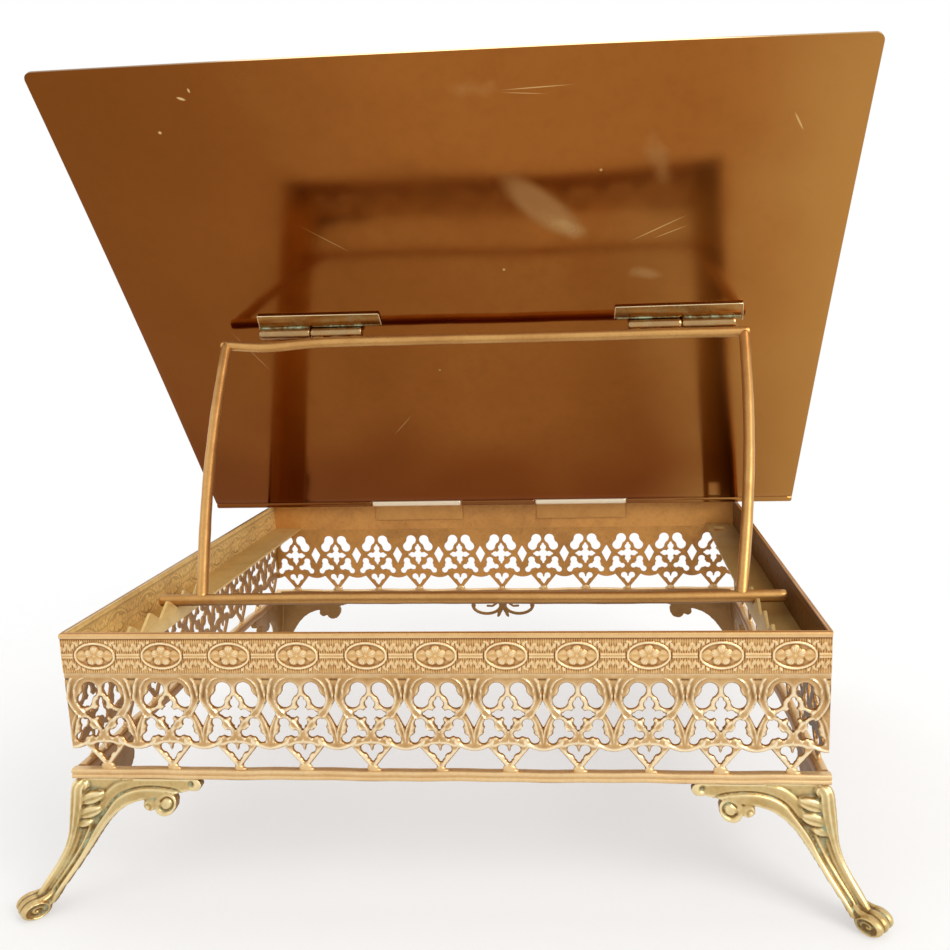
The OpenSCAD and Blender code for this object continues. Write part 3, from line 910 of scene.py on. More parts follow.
@dataclass
class Galleries:
    """The four pierced panels: onion bands over lobed lights, swags and heart drops."""

    shop: Workshop
    high: float = 36.0
    columns: int = 68
    rows: int = 102
    thin: float = 0.62
    swell: float = 0.62
    nudge: float = 0.02
    bar: Pair = (5.4, -28.2)
    bar_slope: float = 0.82
    bar_reach: float = 10.5
    drop_top: float = -25.0
    swag_r: float = 10.0
    swag_y: float = -18.8
    diamond: tuple[float, float, float] = (-10.4, -15.0, -20.4)
    diamond_half: float = 2.75

    @staticmethod
    def curve(y: Array, points: Sequence[Pair]) -> tuple[Array, Array]:
        """Read a smooth curve drawn through a few points.

        Args:
            y: Heights to read it at.
            points: Its points as (height, distance), falling.

        Returns:
            The distance at each height, and the slope there.
        """
        heights = np.linspace(points[-1][0], points[0][0], 400)
        rising = points[::-1]
        line = np.interp(heights, [p[0] for p in rising], [p[1] for p in rising])
        for _ in range(3):
            padded = np.pad(line, 10, mode="reflect", reflect_type="odd")
            line = np.convolve(padded, np.ones(21) / 21, "valid")
        return np.interp(y, heights, line), np.interp(y, heights, np.gradient(line, heights))

    def bar_side(self, u: Array, y: Array) -> Array:
        """Give the distance from the outer side of a drop's slanting bar."""
        return ((u - self.bar[0]) + self.bar_slope * (y - self.bar[1])) / math.hypot(1, self.bar_slope)

    def swag_side(self, u: Array, y: Array) -> Array:
        """Give the distance inside the round lower side of a swag."""
        return self.swag_r - np.hypot(u, y - self.swag_y)

    def solid(self, x: Array, y: Array, diamonds: bool = True) -> Array:
        """Give the distance to the nearest opening of one unit, below 0 in an opening.

        Args:
            x: Places along the unit, from its middle.
            y: Places down from the frieze, below 0.
            diamonds: Whether the diamonds at the unit's two ends are cut.

        Returns:
            The distance at each place.
        """
        w, u = np.abs(x), SIZES.unit / 2 - np.abs(x)
        out = np.full_like(w, 9.0)
        for at, r in LOBES:
            out = np.minimum(out, np.hypot(w - at[0], y - at[1]) - r)
        for first, last, r in SLITS:
            out = np.minimum(out, segment(w, y, first, last) - r)
        if diamonds:
            top, waist, foot = self.diamond
            half = self.diamond_half
            upper = (u * (top - waist) + (y - top) * half) / math.hypot(top - waist, half)
            lower = (u * (waist - foot) - (y - foot) * half) / math.hypot(waist - foot, half)
            out = np.minimum(out, np.maximum(upper, lower))
        drop = np.maximum(self.bar_side(u, y), u - self.bar_reach)
        return np.minimum(out, np.maximum(np.maximum(self.swag_side(u, y), drop), y - self.drop_top))

    def height(self, x: Array, y: Array, diamonds: bool = True) -> Array:
        """Give the height of the outer face above the inner one.

        Args:
            x: Places along the unit, from its middle.
            y: Places down from the frieze, below 0.
            diamonds: Whether the diamonds at the unit's two ends are cut.

        Returns:
            The height at each place.
        """
        w, u = np.abs(x), SIZES.unit / 2 - np.abs(x)
        inner = np.clip(self.solid(x, y, diamonds), 0, 1)
        high = self.thin + self.swell * vault(1 - inner)
        reach, slope = self.curve(y, ONION)
        off = (w - np.abs(reach)) / np.sqrt(1 + slope ** 2)
        live = smooth(y, -25.5, -24.0) * (1 - smooth(y, -1.8, -1.0))
        band = np.abs(off)
        onion = 0.58 * ridge(band, 0.3, 1.15) + 0.2 * (1 - smooth(band, 1.3, 1.75))
        ground = smooth(off, 1.3, 1.9) * smooth(y, -10, -7.5) * (1 - smooth(y, -2.6, -2.2))
        leaf_rib = segment(u, y, (1.5, -4.6), (0.15, -10.2))
        high = high - 0.12 * ground + onion * live
        upper = smooth(y, -11.0, -9.8) * (1 - smooth(y, -3.0, -2.2))
        fill = 1.5 * upper * (1 - smooth(u, 1.0, 2.0))
        high = np.maximum(high, fill) + 0.4 * ridge(leaf_rib, 0.32)
        reach, slope = self.curve(y, FORK)
        off = np.abs(u - reach) / np.sqrt(1 + slope ** 2)
        live = smooth(y, -26.5, -25) * (1 - smooth(y, -16.5, -14.5))
        high = high + (0.34 * ridge(off, 0.3, 0.75) - 0.12 * ridge(off, 0.35)) * live
        low = 1 - smooth(y, -25.4, -24.2)
        high = high + 0.42 * ridge(self.swag_side(u, y), 0.5, 0.75) * low * (u < 7)
        rope = segment(w, y, (0, -25.3), (5.5, -26.6))
        high = high + 0.42 * ridge(rope, 0.6)
        side = self.bar_side(u, y)
        high = high + 0.25 * ridge(side, 0.35, 0.7) * (1 - smooth(y, -27, -26))
        plain = smooth(y, -2.3, -1.9)
        return high * (1 - plain) + plain * (1.5 - 0.3 * smooth(y, -0.25, 0.0))

    def cell(self, diamonds: bool) -> tuple[Array, ...]:
        """Work out one unit: its vertices pulled to the openings' edges, and which faces stay.

        Args:
            diamonds: Whether the diamonds at the unit's two ends are cut.

        Returns:
            Two arrays of places, the heights, the tones and the faces that stay.
        """
        step = SIZES.unit / self.columns
        x, y = np.meshgrid((np.arange(self.columns) - self.columns / 2) * step,
                           (np.arange(self.rows + 1) / self.rows - 1) * self.high)
        mid_y = (y[:-1] + y[1:]) / 2
        stay = self.solid(x[:-1] + step / 2, mid_y, diamonds) > 0
        around = np.zeros(y.shape, int)
        around[:-1] += stay
        around[1:] += stay
        around = around + np.roll(around, 1, axis=1)
        full = np.full(y.shape, 4)
        full[[0, -1]] = 2
        edge = (around > 0) & (around < full)
        px, py = x.copy(), y.copy()
        small, limit = self.nudge, 0.75 * step
        for _ in range(4):
            value = self.solid(px, py, diamonds)
            gx, gy = ((self.solid(px + dx, py + dy, diamonds) - self.solid(px - dx, py - dy, diamonds))
                      / (2 * small) for dx, dy in ((small, 0), (0, small)))
            size = np.maximum(gx * gx + gy * gy, 0.25)
            px = np.where(edge, np.clip(px - value * gx / size, x - limit, x + limit), px)
            py = np.where(edge, np.clip(py - value * gy / size, y - limit, y + limit), py)
        py = np.clip(py, -self.high, 0)
        high = self.height(px, py, diamonds)
        flat = np.where(around > 0, high, 0.4)
        return px, py, high, tone_of(high, flat, depth=0.33, level=1.3), stay

    def build(self, side: Side) -> None:
        """Make one panel.

        Args:
            side: The side of the frame.
        """
        count, length = SIZES.units(side), SIZES.length(side)
        columns, half = count * self.columns, self.columns // 2
        plain, ended = self.cell(True), self.cell(False)
        full = []
        for one, other in zip(plain, ended):
            whole = np.tile(one, (1, count))
            whole[:, :half] = other[:, :half]
            whole[:, -half:] = other[:, -half:]
            full.append(whole)
        px, py, high, tone, stay = full
        px = px + np.repeat((np.arange(count) - (count - 1) / 2) * SIZES.unit, self.columns)
        px, py, high, tone = (np.concatenate([part, part[:, :1]], axis=1) for part in (px, py, high, tone))
        px[:, -1] = length / 2
        middle = (np.arange(columns) + 0.5) / self.columns * SIZES.unit - count * SIZES.unit / 2
        stay = stay & (np.abs(middle) < length / 2)
        form = grid(columns, self.rows)
        trim(form, stay)
        lift(form, 1)
        name = f"{side.value}_gallery"
        mesh = as_mesh(outward(form), name)
        points = read_points(mesh)
        at = cells(points, self.rows, columns)
        front = points[:, 2] > 0.5
        points[:, 0] = np.clip(px[at], -length / 2, length / 2)
        points[:, 1] = SIZES.frieze + py[at]
        points[:, 2] = np.where(front, high[at], 0)
        write_points(mesh, points)
        # The inner face takes its side's painted shade.
        set_tone(mesh, np.where(front, tone[at], GALLERY_INSIDE[side]))
        self.shop.keep(name, mesh, PIERCED, place=SIZES.strip(side), crease=55)


def sweep(path: Array, section: Array, size: Optional[Array] = None, first: Numbers = (0, 0, 1)) -> Form:
    """Carry a closed section along a path.

    Args:
        path: The places of the section's middle, one row each.
        section: The section's outline round that middle.
        size: How much the section is scaled at each place.
        first: The direction that the section's first axis starts in.

    Returns:
        A closed form.
    """
    rows, sides = len(path) - 1, len(section)
    run = np.gradient(path, axis=0)
    run = run / np.linalg.norm(run, axis=1, keepdims=True)
    size = np.ones(len(path)) if size is None else size
    upright = np.asarray(first, float)
    rings = []
    for at, ahead, scale in zip(path, run, size):
        upright = upright - ahead * upright.dot(ahead)
        upright = upright / np.linalg.norm(upright)
        rings.append(at + scale * (section[:, :1] * upright + section[:, 1:] * np.cross(upright, ahead)))
    form = grid(sides, rows)
    for vert in form.verts:
        col, row = round((vert.co.x + 0.5) * sides) % sides, round((vert.co.y + 0.5) * rows)
        vert.co = rings[row][col]
    bmesh.ops.remove_doubles(form, verts=form.verts[:], dist=1e-4)
    rim = boundary(form)
    if rim:
        bmesh.ops.holes_fill(form, edges=rim, sides=0)
    return outward(form)


def ring(radius: float, sides: int = 20) -> Array:
    """Give a round section."""
    turn = np.arange(sides) * 2 * np.pi / sides
    return np.stack([radius * np.cos(turn), radius * np.sin(turn)], axis=1)


def rod(path: Sequence[Numbers], radius: float, sides: int = 20, pieces: int = 40,
        wobble: float = 0.0) -> Form:
    """Draw a round rod through a few points, with softened ends.

    Args:
        path: The points that it runs through.
        radius: Its radius.
        sides: Faces round it.
        pieces: Lengths that it is divided into.
        wobble: How far its surface wanders, as a share of its radius.

    Returns:
        A closed form.
    """
    points = np.asarray(path, float)
    reach = np.concatenate([[0], np.cumsum(np.linalg.norm(np.diff(points, axis=0), axis=1))])
    soft = radius * 0.35
    steps = np.concatenate([[0, soft * 0.3, soft], np.linspace(0, reach[-1], pieces)[1:-1],
                            [reach[-1] - soft, reach[-1] - soft * 0.3, reach[-1]]])
    line = np.stack([np.interp(steps, reach, points[:, axis]) for axis in range(3)], axis=1)
    size = 1 + wobble * (np.sin(steps * 0.21) * 0.6 + np.sin(steps * 0.53 + 1.0) * 0.4)
    size[[0, -1]] *= 0.65
    size[[1, -2]] *= 0.87
    across = (0, 0, 1) if abs(points[-1][2] - points[0][2]) < 0.9 * reach[-1] else (0, 1, 0)
    return sweep(line, ring(radius, sides), size, across)


def gather(forms: Sequence[Form]) -> Form:
    """Put several forms into one.

    Args:
        forms: The forms, which are freed.

    Returns:
        One form of them all.
    """
    whole = bmesh.new()
    for form in forms:
        mesh = as_mesh(form, "gathered")
        whole.from_mesh(mesh)
        bpy.data.meshes.remove(mesh)
    return whole


def shade(form: Form, tone: Union[float, Rule]) -> Form:
    """Give a form one tone, or each of its vertices the tone that a rule finds.

    Args:
        form: The form.
        tone: The tone or the rule.

    Returns:
        The same form.
    """
    layer = form.verts.layers.float.get(TONE) or form.verts.layers.float.new(TONE)
    for vert in form.verts:
        vert[layer] = tone(vert) if callable(tone) else tone
    return form


def lump(at: Numbers, half: Numbers, turn: float = 0.0, axis: str = "Z", fine: int = 3) -> Form:
    """Draw a rounded lump.

    Args:
        at: Its middle.
        half: Half of its size along each axis.
        turn: Its turn in degrees.
        axis: The axis that it turns about.
        fine: How finely it is divided.

    Returns:
        A closed form.
    """
    form = bmesh.new()
    turned = Matrix.Rotation(math.radians(turn), 4, axis) @ Matrix.Diagonal((*half, 1))
    bmesh.ops.create_icosphere(form, subdivisions=fine, radius=1, matrix=Matrix.Translation(at) @ turned)
    return form


def slab(outline: Sequence[Numbers], low: float, high: float, edge: float = 0.0,
         segments: int = 2, hole: Sequence[Numbers] = ()) -> Form:
    """Cut a flat outline from sheet.

    Args:
        outline: The corners of the outline.
        low: Height of its lower face.
        high: Height of its upper face.
        edge: How far its edges are rounded.
        segments: Faces across a rounded edge.
        hole: The corners of an opening in it.

    Returns:
        A closed form.
    """
    form = bmesh.new()
    rims = []
    for loop in filter(None, (outline, hole)):
        verts = [form.verts.new((x, y, low)) for x, y in loop]
        rims += [form.edges.new(pair) for pair in zip(verts, verts[1:] + verts[:1])]
    bmesh.ops.triangle_fill(form, use_beauty=True, use_dissolve=not hole, edges=rims)
    lift(form, high)
    outward(form)
    if edge:
        soften_edges(form, [item for item in form.edges if item.calc_face_angle(0) > 0.2], edge, segments)
    return form


def weather(mesh: Mesh, rounds: int, depth: float, bare: Numbers = (0, 0, 0), darker_below: float = 0.0) -> None:
    """Store a tone from how far each vertex stands out from its neighbourhood, with painted shade added on
    some faces.

    Args:
        mesh: The mesh.
        rounds: How far the neighbourhood reaches.
        depth: The height that counts as fully hollow or proud.
        bare: The direction in which the metal was left unpolished and takes painted shade.
        darker_below: The height below which the tone is darker, most of all on faces turned across the
            corner, which take painted shade.
    """
    points = read_points(mesh).astype(float)
    normals = np.empty(len(points) * 3, np.float32)
    mesh.vertex_normals.foreach_get("vector", normals)
    ends = np.empty(len(mesh.edges) * 2, np.int32)
    mesh.edges.foreach_get("vertices", ends)
    one, two = ends.reshape(-1, 2).T
    size = len(points)
    count = np.maximum(np.bincount(one, minlength=size) + np.bincount(two, minlength=size), 1)
    soft = points.copy()
    for _ in range(rounds):
        total = [np.bincount(one, soft[two, axis], size) + np.bincount(two, soft[one, axis], size)
                 for axis in range(3)]
        soft = 0.5 * soft + 0.5 * np.stack(total, axis=1) / count[:, None]
    normals = normals.reshape(-1, 3)
    proud = ((points - soft) * normals).sum(axis=1)
    # Faces turned towards the bare direction are unpolished and take painted shade.
    rough = smooth(normals @ np.asarray(bare, float), 0.15, 0.5)
    tone = np.clip(proud / depth, -1, 1)
    if darker_below:
        # Below the height the tone darkens, and faces turned across the corner, the ends of the feet, take
        # painted shade.
        cap_shade = smooth(np.abs(normals[:, 0] - normals[:, 1]) * 0.7071, 0.75, 0.95)
        tone = np.clip(tone - (0.45 + 0.45 * cap_shade) * (1 - smooth(points[:, 2], darker_below / 3, darker_below)), -1, 1)
    set_tone(mesh, tone * (1 - rough) - 1.8 * rough)


def fuse(forms: Sequence[Form], name: str, grain: float, rounds: int) -> Mesh:
    """Melt several overlapping forms into one cast skin.

    Args:
        forms: The forms, which are freed.
        name: The name of the new mesh.
        grain: Size of the skin's faces.
        rounds: How often the skin is smoothed.

    Returns:
        The skin.
    """
    mesh = as_mesh(gather(forms), "rough")
    rough = put("rough", mesh)
    skin = rough.modifiers.new("skin", "REMESH")
    skin.mode = "VOXEL"
    skin.voxel_size = grain
    ease = rough.modifiers.new("ease", "SMOOTH")
    ease.factor = 0.5
    ease.iterations = rounds
    seen = rough.evaluated_get(bpy.context.evaluated_depsgraph_get())
    cast = bpy.data.meshes.new_from_object(seen)
    cast.name = name
    bpy.data.objects.remove(rough)
    bpy.data.meshes.remove(mesh)
    return cast


@dataclass
class Rails:
    """The four reeded rails, with the drops' solder on them."""

    shop: Workshop
    high: float = 3.8
    deep: float = 3.4
    reed: float = 0.95

    def build(self, side: Side) -> None:
        """Make one rail.

        Args:
            side: The side of the frame.
        """
        across = side in (Side.BACK, Side.FRONT)
        length = SIZES.width + 2 * self.reed if across else SIZES.depth - 2 * self.deep
        back, front = SIZES.panel - self.deep, SIZES.panel
        reeds = [(front - 0.25 + 1.2 * self.reed * math.cos(t), self.reed * (middle + math.sin(t)))
                 for middle, start, end in ((3, 75, -62), (1, 62, -90))
                 for t in np.radians(np.linspace(start, end, 9))]
        crown = [(back + step, high) for step, high in (
            (0.0, 2.4), (0.3, 3.1), (0.9, 3.6), (1.7, self.high), (2.6, self.high))]
        section = np.array([(back, 0.3)] + crown + reeds + [(front - 0.9, 0), (back + 0.3, 0)])
        steps = np.linspace(-length / 2, length / 2, int(length / 3))
        wave = 0.16 * np.sin(steps * 0.11 + 0.6) + 0.1 * np.sin(steps * 0.29)
        wave = wave * smooth(length / 2 - np.abs(steps), 0, 25)
        path = np.stack([steps, SIZES.leg + wave, 0.5 * wave], axis=1)
        bar = sweep(path, section, None, (0, 0, 1))
        # Painted shade on the rail's inner face and underside.
        low = SIZES.leg + 0.3
        forms = [shade(bar, lambda vert: -0.95 if vert.co.z < back + 0.6 or vert.co.y < low else 0.25)]
        for i in range(SIZES.units(side)):
            x = (i - (SIZES.units(side) - 1) / 2) * SIZES.unit
            if abs(x) < length / 2 - 3:
                size = 1 + 0.22 * math.sin(2.1 * i + (1 if across else 0))
                drop = lump((x, SIZES.gallery + 0.5, 0.7), (2.1 * size, 1.7 * size, 1.2), 0, "Z", 3)
                run = lump((x + 0.8 * size, SIZES.gallery + 0.1, 0.9), (2.3, 0.8 * size, 1.1), 0, "Z", 2)
                forms += [shade(drop, 0.0), shade(run, -0.15)]
        self.shop.keep(f"{side.value}_rail", gather(forms), REEDED, place=SIZES.strip(side), crease=45)


def eased(points: Sequence[Numbers], rounds: int = 3) -> Array:
    """Cut the corners of a line again and again, so that it runs smoothly.

    Args:
        points: The points of the line.
        rounds: How often its corners are cut.

    Returns:
        The points of the smooth line.
    """
    line = np.asarray(points, float)
    for _ in range(rounds):
        ahead = np.empty((2 * len(line) - 2, 2))
        ahead[0::2] = 0.75 * line[:-1] + 0.25 * line[1:]
        ahead[1::2] = 0.25 * line[:-1] + 0.75 * line[1:]
        line = np.concatenate([line[:1], ahead, line[-1:]])
    return line


def beside(x: Array, y: Array, line: Array) -> Array:
    """Give the distance to a line, above 0 on the left of its run.

    Args:
        x: Places across.
        y: Places up.
        line: The points of the line.

    Returns:
        The signed distance at each place.
    """
    best = np.full(x.shape, 1e9)
    side = np.ones(x.shape)
    for first, last in zip(line[:-1], line[1:]):
        run, rise = last - first
        far = segment(x, y, first, last)
        turn = run * (y - first[1]) - rise * (x - first[0])
        closer = far < best
        side = np.where(closer, np.sign(turn), side)
        best = np.minimum(best, far)
    return best * side


# Lines of a leg's ornament, as drawn for a leg of this height: distance from the corner, and height.
DRAWN_LEG = 48
UNDERSIDE = ((42.0, 43.4), (38.0, 42.4), (31.0, 40.8), (25.4, 40.0), (20.4, 38.6), (16.4, 36.0),
             (12.9, 31.8), (11.2, 28.0), (9.2, 21.3), (8.5, 13.2), (8.1, 8.5), (7.6, 3.5))
GROOVE = ((39.0, 40.4), (38.4, 42.8), (35.6, 44.2), (28.6, 44.9), (22.8, 44.6), (17.7, 43.0), (14.0, 40.4),
          (11.7, 36.6), (9.5, 32.8), (8.0, 29.4), (7.1, 26.1), (6.4, 20.4), (5.9, 14.0), (5.6, 9.0),
          (5.3, 3.5))
SHOULDER = ((22.0, 47.6), (17.6, 47.2), (14.3, 46.1), (11.6, 43.9), (10.0, 42.0), (8.6, 38.6))
STEM_RIDGE = ((7.0, 32.5), (5.9, 27.5), (5.1, 21.0), (4.6, 14.0), (4.3, 8.0), (4.0, 3.5))
VEINS = (((2.4, 39.2), (6.0, 40.6), (10.4, 42.0)), ((2.4, 34.2), (6.0, 35.6), (10.0, 36.8)))
# Lobes of the corner's leaf: middle, half size, turn and rise.
LEAF_LOBES = (((5.8, 40.9), (5.0, 2.5), 14, 2.1), ((5.6, 35.8), (4.8, 2.5), 12, 2.1),
              ((4.0, 31.4), (3.2, 1.7), 5, 1.5), ((3.0, 45.2), (1.7, 2.0), 0, 1.4))
# The corner's way out and its column's size: height and value.
SPLAY = ((3.0, 13.4), (4.2, 12.9), (7, 11.8), (10, 10.2), (14, 7.9), (20, 5.0), (26, 3.0), (34, 1.5),
         (42, 0.5), (48, 0.2))
COLUMN_SIZE = ((4, 0.5), (10, 0.46), (20, 0.48), (28, 0.6), (33, 0.84), (38, 1.0), (43, 1.0), (45.5, 0.9),
               (47, 0.62), (48, 0.25))
# The end of a foot: radius and how far it lies inside the foot's width.
CAPS = ((0.0, 1.0), (1.2, 1.15), (2.4, 1.05), (3.3, 0.6), (3.9, 0.0))


def drawn(z: Array) -> Array:
    """Give the height at which a leg's ornament was drawn."""
    return z + (DRAWN_LEG - SIZES.leg) * smooth(z, 4, 34)


def swell(depth: Array, width: float) -> Array:
    """Round an edge: 0 at the edge and 1 from one width inside it."""
    return vault(1 - np.clip(depth / width, 0, 1))


@dataclass
class Legs:
    """The four cast legs: two moulded wings that meet in a leafy corner and run down to a rolled foot."""

    shop: Workshop
    start: float = 0.4
    wing: float = 46.5
    wall: float = 2.4
    sunk: float = 0.9
    low: float = 4.2
    step: float = 0.38
    foot_out: float = 18.0
    foot_r: float = 5.2
    foot_w: float = 10.4
    sole: float = 3.5
    mould: float = 1.15
    scroll: Pair = (33.6, 38.7)
    scroll_r: float = 4.7
    eye_r: float = 2.3
    knob: Pair = (27.6, 38.3)
    knob_r: float = 2.5
    tip: Pair = (43.4, 45.5)
    tip_r: float = 2.5
    column: float = 3.2

    @staticmethod
    def splay(z: Array) -> Array:
        """Give how far the corner has moved out along each side at a height."""
        line = eased(SPLAY)
        return np.interp(drawn(z), line[:, 0], line[:, 1])

    def fields(self, s: Array, z: Array) -> tuple[Array, Array]:
        """Work out one wing's outline and relief.

        Args:
            s: Distance from the corner.
            z: Height above the floor.

        Returns:
            The depth inside the outline, and the height of the relief.
        """
        z = drawn(z)
        under, groove, upper, stem = (eased(line) for line in (UNDERSIDE, GROOVE, SHOULDER, STEM_RIDGE))
        above = -beside(s, z, under)
        (scroll_s, scroll_z), (knob_s, knob_z), (tip_s, tip_z) = self.scroll, self.knob, self.tip
        turn = np.degrees(np.arctan2(z - scroll_z, s - scroll_s))
        far = np.hypot(s - scroll_s, z - scroll_z)
        curl = self.scroll_r - far - 0.9 * smooth(np.abs(turn + 110), 0, 90) * (turn < 60)
        bud = self.knob_r - np.hypot(s - knob_s, z - knob_z)
        end = self.tip_r - np.hypot(s - tip_s, (z - tip_z) * 1.05)
        body = np.minimum(above, tip_s - s)
        inside = np.maximum(np.maximum(body, end), np.maximum(curl, bud))
        # The moulding along the underside, and the raised field above its groove.
        into = -beside(s, z, groove)
        band = np.where(into < 0, swell(-into, 1.1), 0) * swell(inside, 1.0)
        high = self.mould * band
        shoulder = beside(s, z, upper)
        lip = np.minimum(swell(into, 0.8), np.maximum(swell(np.abs(shoulder), 0.7), smooth(s, 18, 22)))
        raised = np.where((into > 0) & ((s > 17) | (shoulder > 0)), 0.66 * lip * smooth(z, 33.5, 38.5), 0)
        high = np.maximum(high, raised)
        high = high - 0.6 * ridge(into, 0.38) * (above > -0.3)
        high = high - 0.25 * ridge(shoulder, 0.3) * (into > 0.4) * (s < 21)
        # The scroll with its eye, the knob and the curled tip.
        rolled = self.mould * vault((far - 3.55) / 1.3)
        coiled = (curl > -0.2) & (turn < 100) & (turn > -175)
        high = np.where(coiled, np.maximum(rolled, high * (far > 4.4)), high)
        high = np.where(far < self.eye_r, 0.35 + 0.95 * vault(far / self.eye_r), high)
        high = high - 0.75 * ridge(far, 0.32, 2.35) * (turn < 160) * (turn > -150)
        high = np.maximum(high, dome(s, z, self.knob, (self.knob_r, 2.3), 0, 1.3))
        eye = np.hypot(s - knob_s + 0.7, z - knob_z + 0.9)
        high = high - 0.6 * ridge(eye, 0.3, 1.15)
        hook = np.hypot(s - tip_s + 0.9, z - tip_z - 0.5)
        high = np.maximum(high, dome(s, z, self.tip, (self.tip_r, 2.4), 0, 1.4))
        high = high - 1.5 * ridge(hook, 1.0)
        # The ridge down the stem, with a hollow beside it.
        off = beside(s, z, stem)
        high = high + 0.7 * ridge(off, 0.42) * (1 - smooth(z, 30.0, 33.0))
        high = high - 0.45 * ridge(off, 0.7, -1.3) * (1 - smooth(z, 27.0, 30.0))
        return inside, np.maximum(high, self.foliage(s, z))

    @staticmethod
    def foliage(s: Array, z: Array) -> Array:
        """Give the height of the lobes that the corner's leaf spreads over a wing.

        Args:
            s: Distance from the corner.
            z: Height as drawn.

        Returns:
            The height at each place.
        """
        high = np.full(s.shape, -0.5)
        for at, half, turn, rise in LEAF_LOBES:
            round_top = dome(s, z, at, half, turn, 1.0)
            high = np.maximum(high, rise * round_top * np.sqrt(2 - round_top ** 2))
        for line in VEINS:
            vein = np.abs(beside(s, z, eased(line)))
            high = high - 0.45 * ridge(vein, 0.4) * (high > 0.6)
        return high

    def column_form(self) -> Form:
        """Draw the fluted column on the corner, which thins to a rib on its way to the foot.

        Returns:
            A closed form.
        """
        z = np.linspace(SIZES.leg, self.low, 60)
        drawn_z = drawn(z)
        size = np.interp(drawn_z, *zip(*COLUMN_SIZE))
        middle = self.splay(z) - 0.35 - 0.75 * size
        middle = middle - 0.5 * (1 - smooth(drawn_z, 14, 34)) - 2.0 * smooth(drawn_z, 44, 48)
        turn = np.arange(72) * 2 * np.pi / 72
        flute = self.column * (1 - 0.07 * (1 - np.cos(9 * turn)))
        section = np.stack([flute * np.cos(turn), flute * np.sin(turn)], axis=1)
        return sweep(np.stack([middle, middle, z], axis=1), section, size, (1, 1, 0))

    def wing_form(self) -> Form:
        """Draw one wing: it runs from the corner towards -x and faces +y.

        Returns:
            A closed form.
        """
        start = self.start
        columns, rows = int((self.wing - start) / self.step), int((SIZES.leg - self.low) / self.step)
        form = grid(columns, rows)
        s, z = np.meshgrid(start + (np.arange(columns) + 0.5) * self.step,
                           self.low + (np.arange(rows) + 0.5) * self.step)
        trim(form, self.fields(s, z)[0] > 0)
        lift(form, 1)
        places = np.array([vert.co for vert in form.verts])
        s = start + (places[:, 0] + 0.5) * (self.wing - start)
        z = self.low + (places[:, 1] + 0.5) * (SIZES.leg - self.low)
        out = self.splay(z)
        face = np.where(places[:, 2] > 0.5, self.fields(s, z)[1], -self.wall) - self.sunk
        for vert, at in zip(form.verts, np.stack([out - s, out + face, z], axis=1)):
            vert.co = at
        return outward(form)

    def foot_forms(self) -> list[Form]:
        """Draw the rolled foot in its diagonal plane: x out from the corner, y across, z up.

        Returns:
            The foot's forms.
        """
        half = self.foot_w / 2
        side = [(r, half - inset) for r, inset in CAPS]
        for i in range(31):
            w = half - 0.3 - (self.foot_w - 0.6) * i / 30
            rim = 1 - 0.16 * abs(w / half) ** 4
            ridges = 0.9 * abs(math.cos(math.pi * (w / self.foot_w) * 3)) ** 0.6
            side.append((self.foot_r * rim - 0.9 + ridges, w))
        side += [(r, -w) for r, w in reversed(side[:len(CAPS)])]
        roll = bmesh.new()
        verts = [roll.verts.new((self.foot_out + r, w, self.sole)) for r, w in side]
        edges = [roll.edges.new(pair) for pair in zip(verts, verts[1:])]
        bmesh.ops.spin(roll, geom=verts + edges, cent=(self.foot_out, 0, self.sole), axis=(0, 1, 0),
                       angle=2 * math.pi, steps=48, use_merge=True)
        bmesh.ops.remove_doubles(roll, verts=roll.verts[:], dist=1e-4)
        for vert in outward(roll).verts:
            vert.co.z = self.sole + (vert.co.z - self.sole) * self.sole / self.foot_r
        forms = [roll]
        for across in (-3.2, 0.0, 3.2):
            rib = [(self.foot_out - back, across * share, self.sole + up) for back, share, up in (
                (6.4, 0.7, 3.4), (3.8, 0.85, 2.3), (0.8, 1.0, 1.9))]
            forms.append(rod(rib, 1.45, 12, 12))
        for end in (1, -1):
            curl = [(self.foot_out + far * math.cos(turn), end * (half - 0.95),
                     self.sole + 0.67 * far * math.sin(turn))
                    for far, turn in zip(np.linspace(2.4, 0.4, 16), np.linspace(3.6, -2.6, 16))]
            forms.append(rod(curl, 0.5, 10, 30))
        return forms + [lump((self.foot_out - 3.6, 0, self.sole + 0.9), (3.4, 4.4, 2.6))]

    def build(self) -> None:
        """Make one leg and mirror it to the four corners."""
        swap = Matrix(((0, 1, 0, 0), (1, 0, 0, 0), (0, 0, 1, 0), (0, 0, 0, 1)))
        turn = Matrix.Rotation(math.radians(45), 4, "Z")
        forms = [self.wing_form(), moved(self.wing_form(), swap), self.column_form()]
        forms += [moved(form, turn) for form in self.foot_forms()]
        cast = fuse(forms, "leg", grain=0.32, rounds=3)
        points = read_points(cast)
        points[:, 2] = np.clip(points[:, 2], 0, SIZES.leg)
        write_points(cast, points)
        # The faces turned into the frame are unpolished and take painted shade, as do the ends of the feet.
        weather(cast, rounds=30, depth=0.22, bare=(-0.7071, -0.7071, 0), darker_below=14.0)
        for side, end, name in ((1, 1, "back_right_leg"), (-1, 1, "back_left_leg"),
                                (1, -1, "front_right_leg"), (-1, -1, "front_left_leg")):
            corner = Matrix.Translation((SIZES.width / 2, SIZES.depth / 2, 0))
            place = Matrix.Diagonal((side, end, 1, 1)) @ corner
            self.shop.keep(name, cast.copy(), CAST, place=place, crease=70)
        bpy.data.meshes.remove(cast)


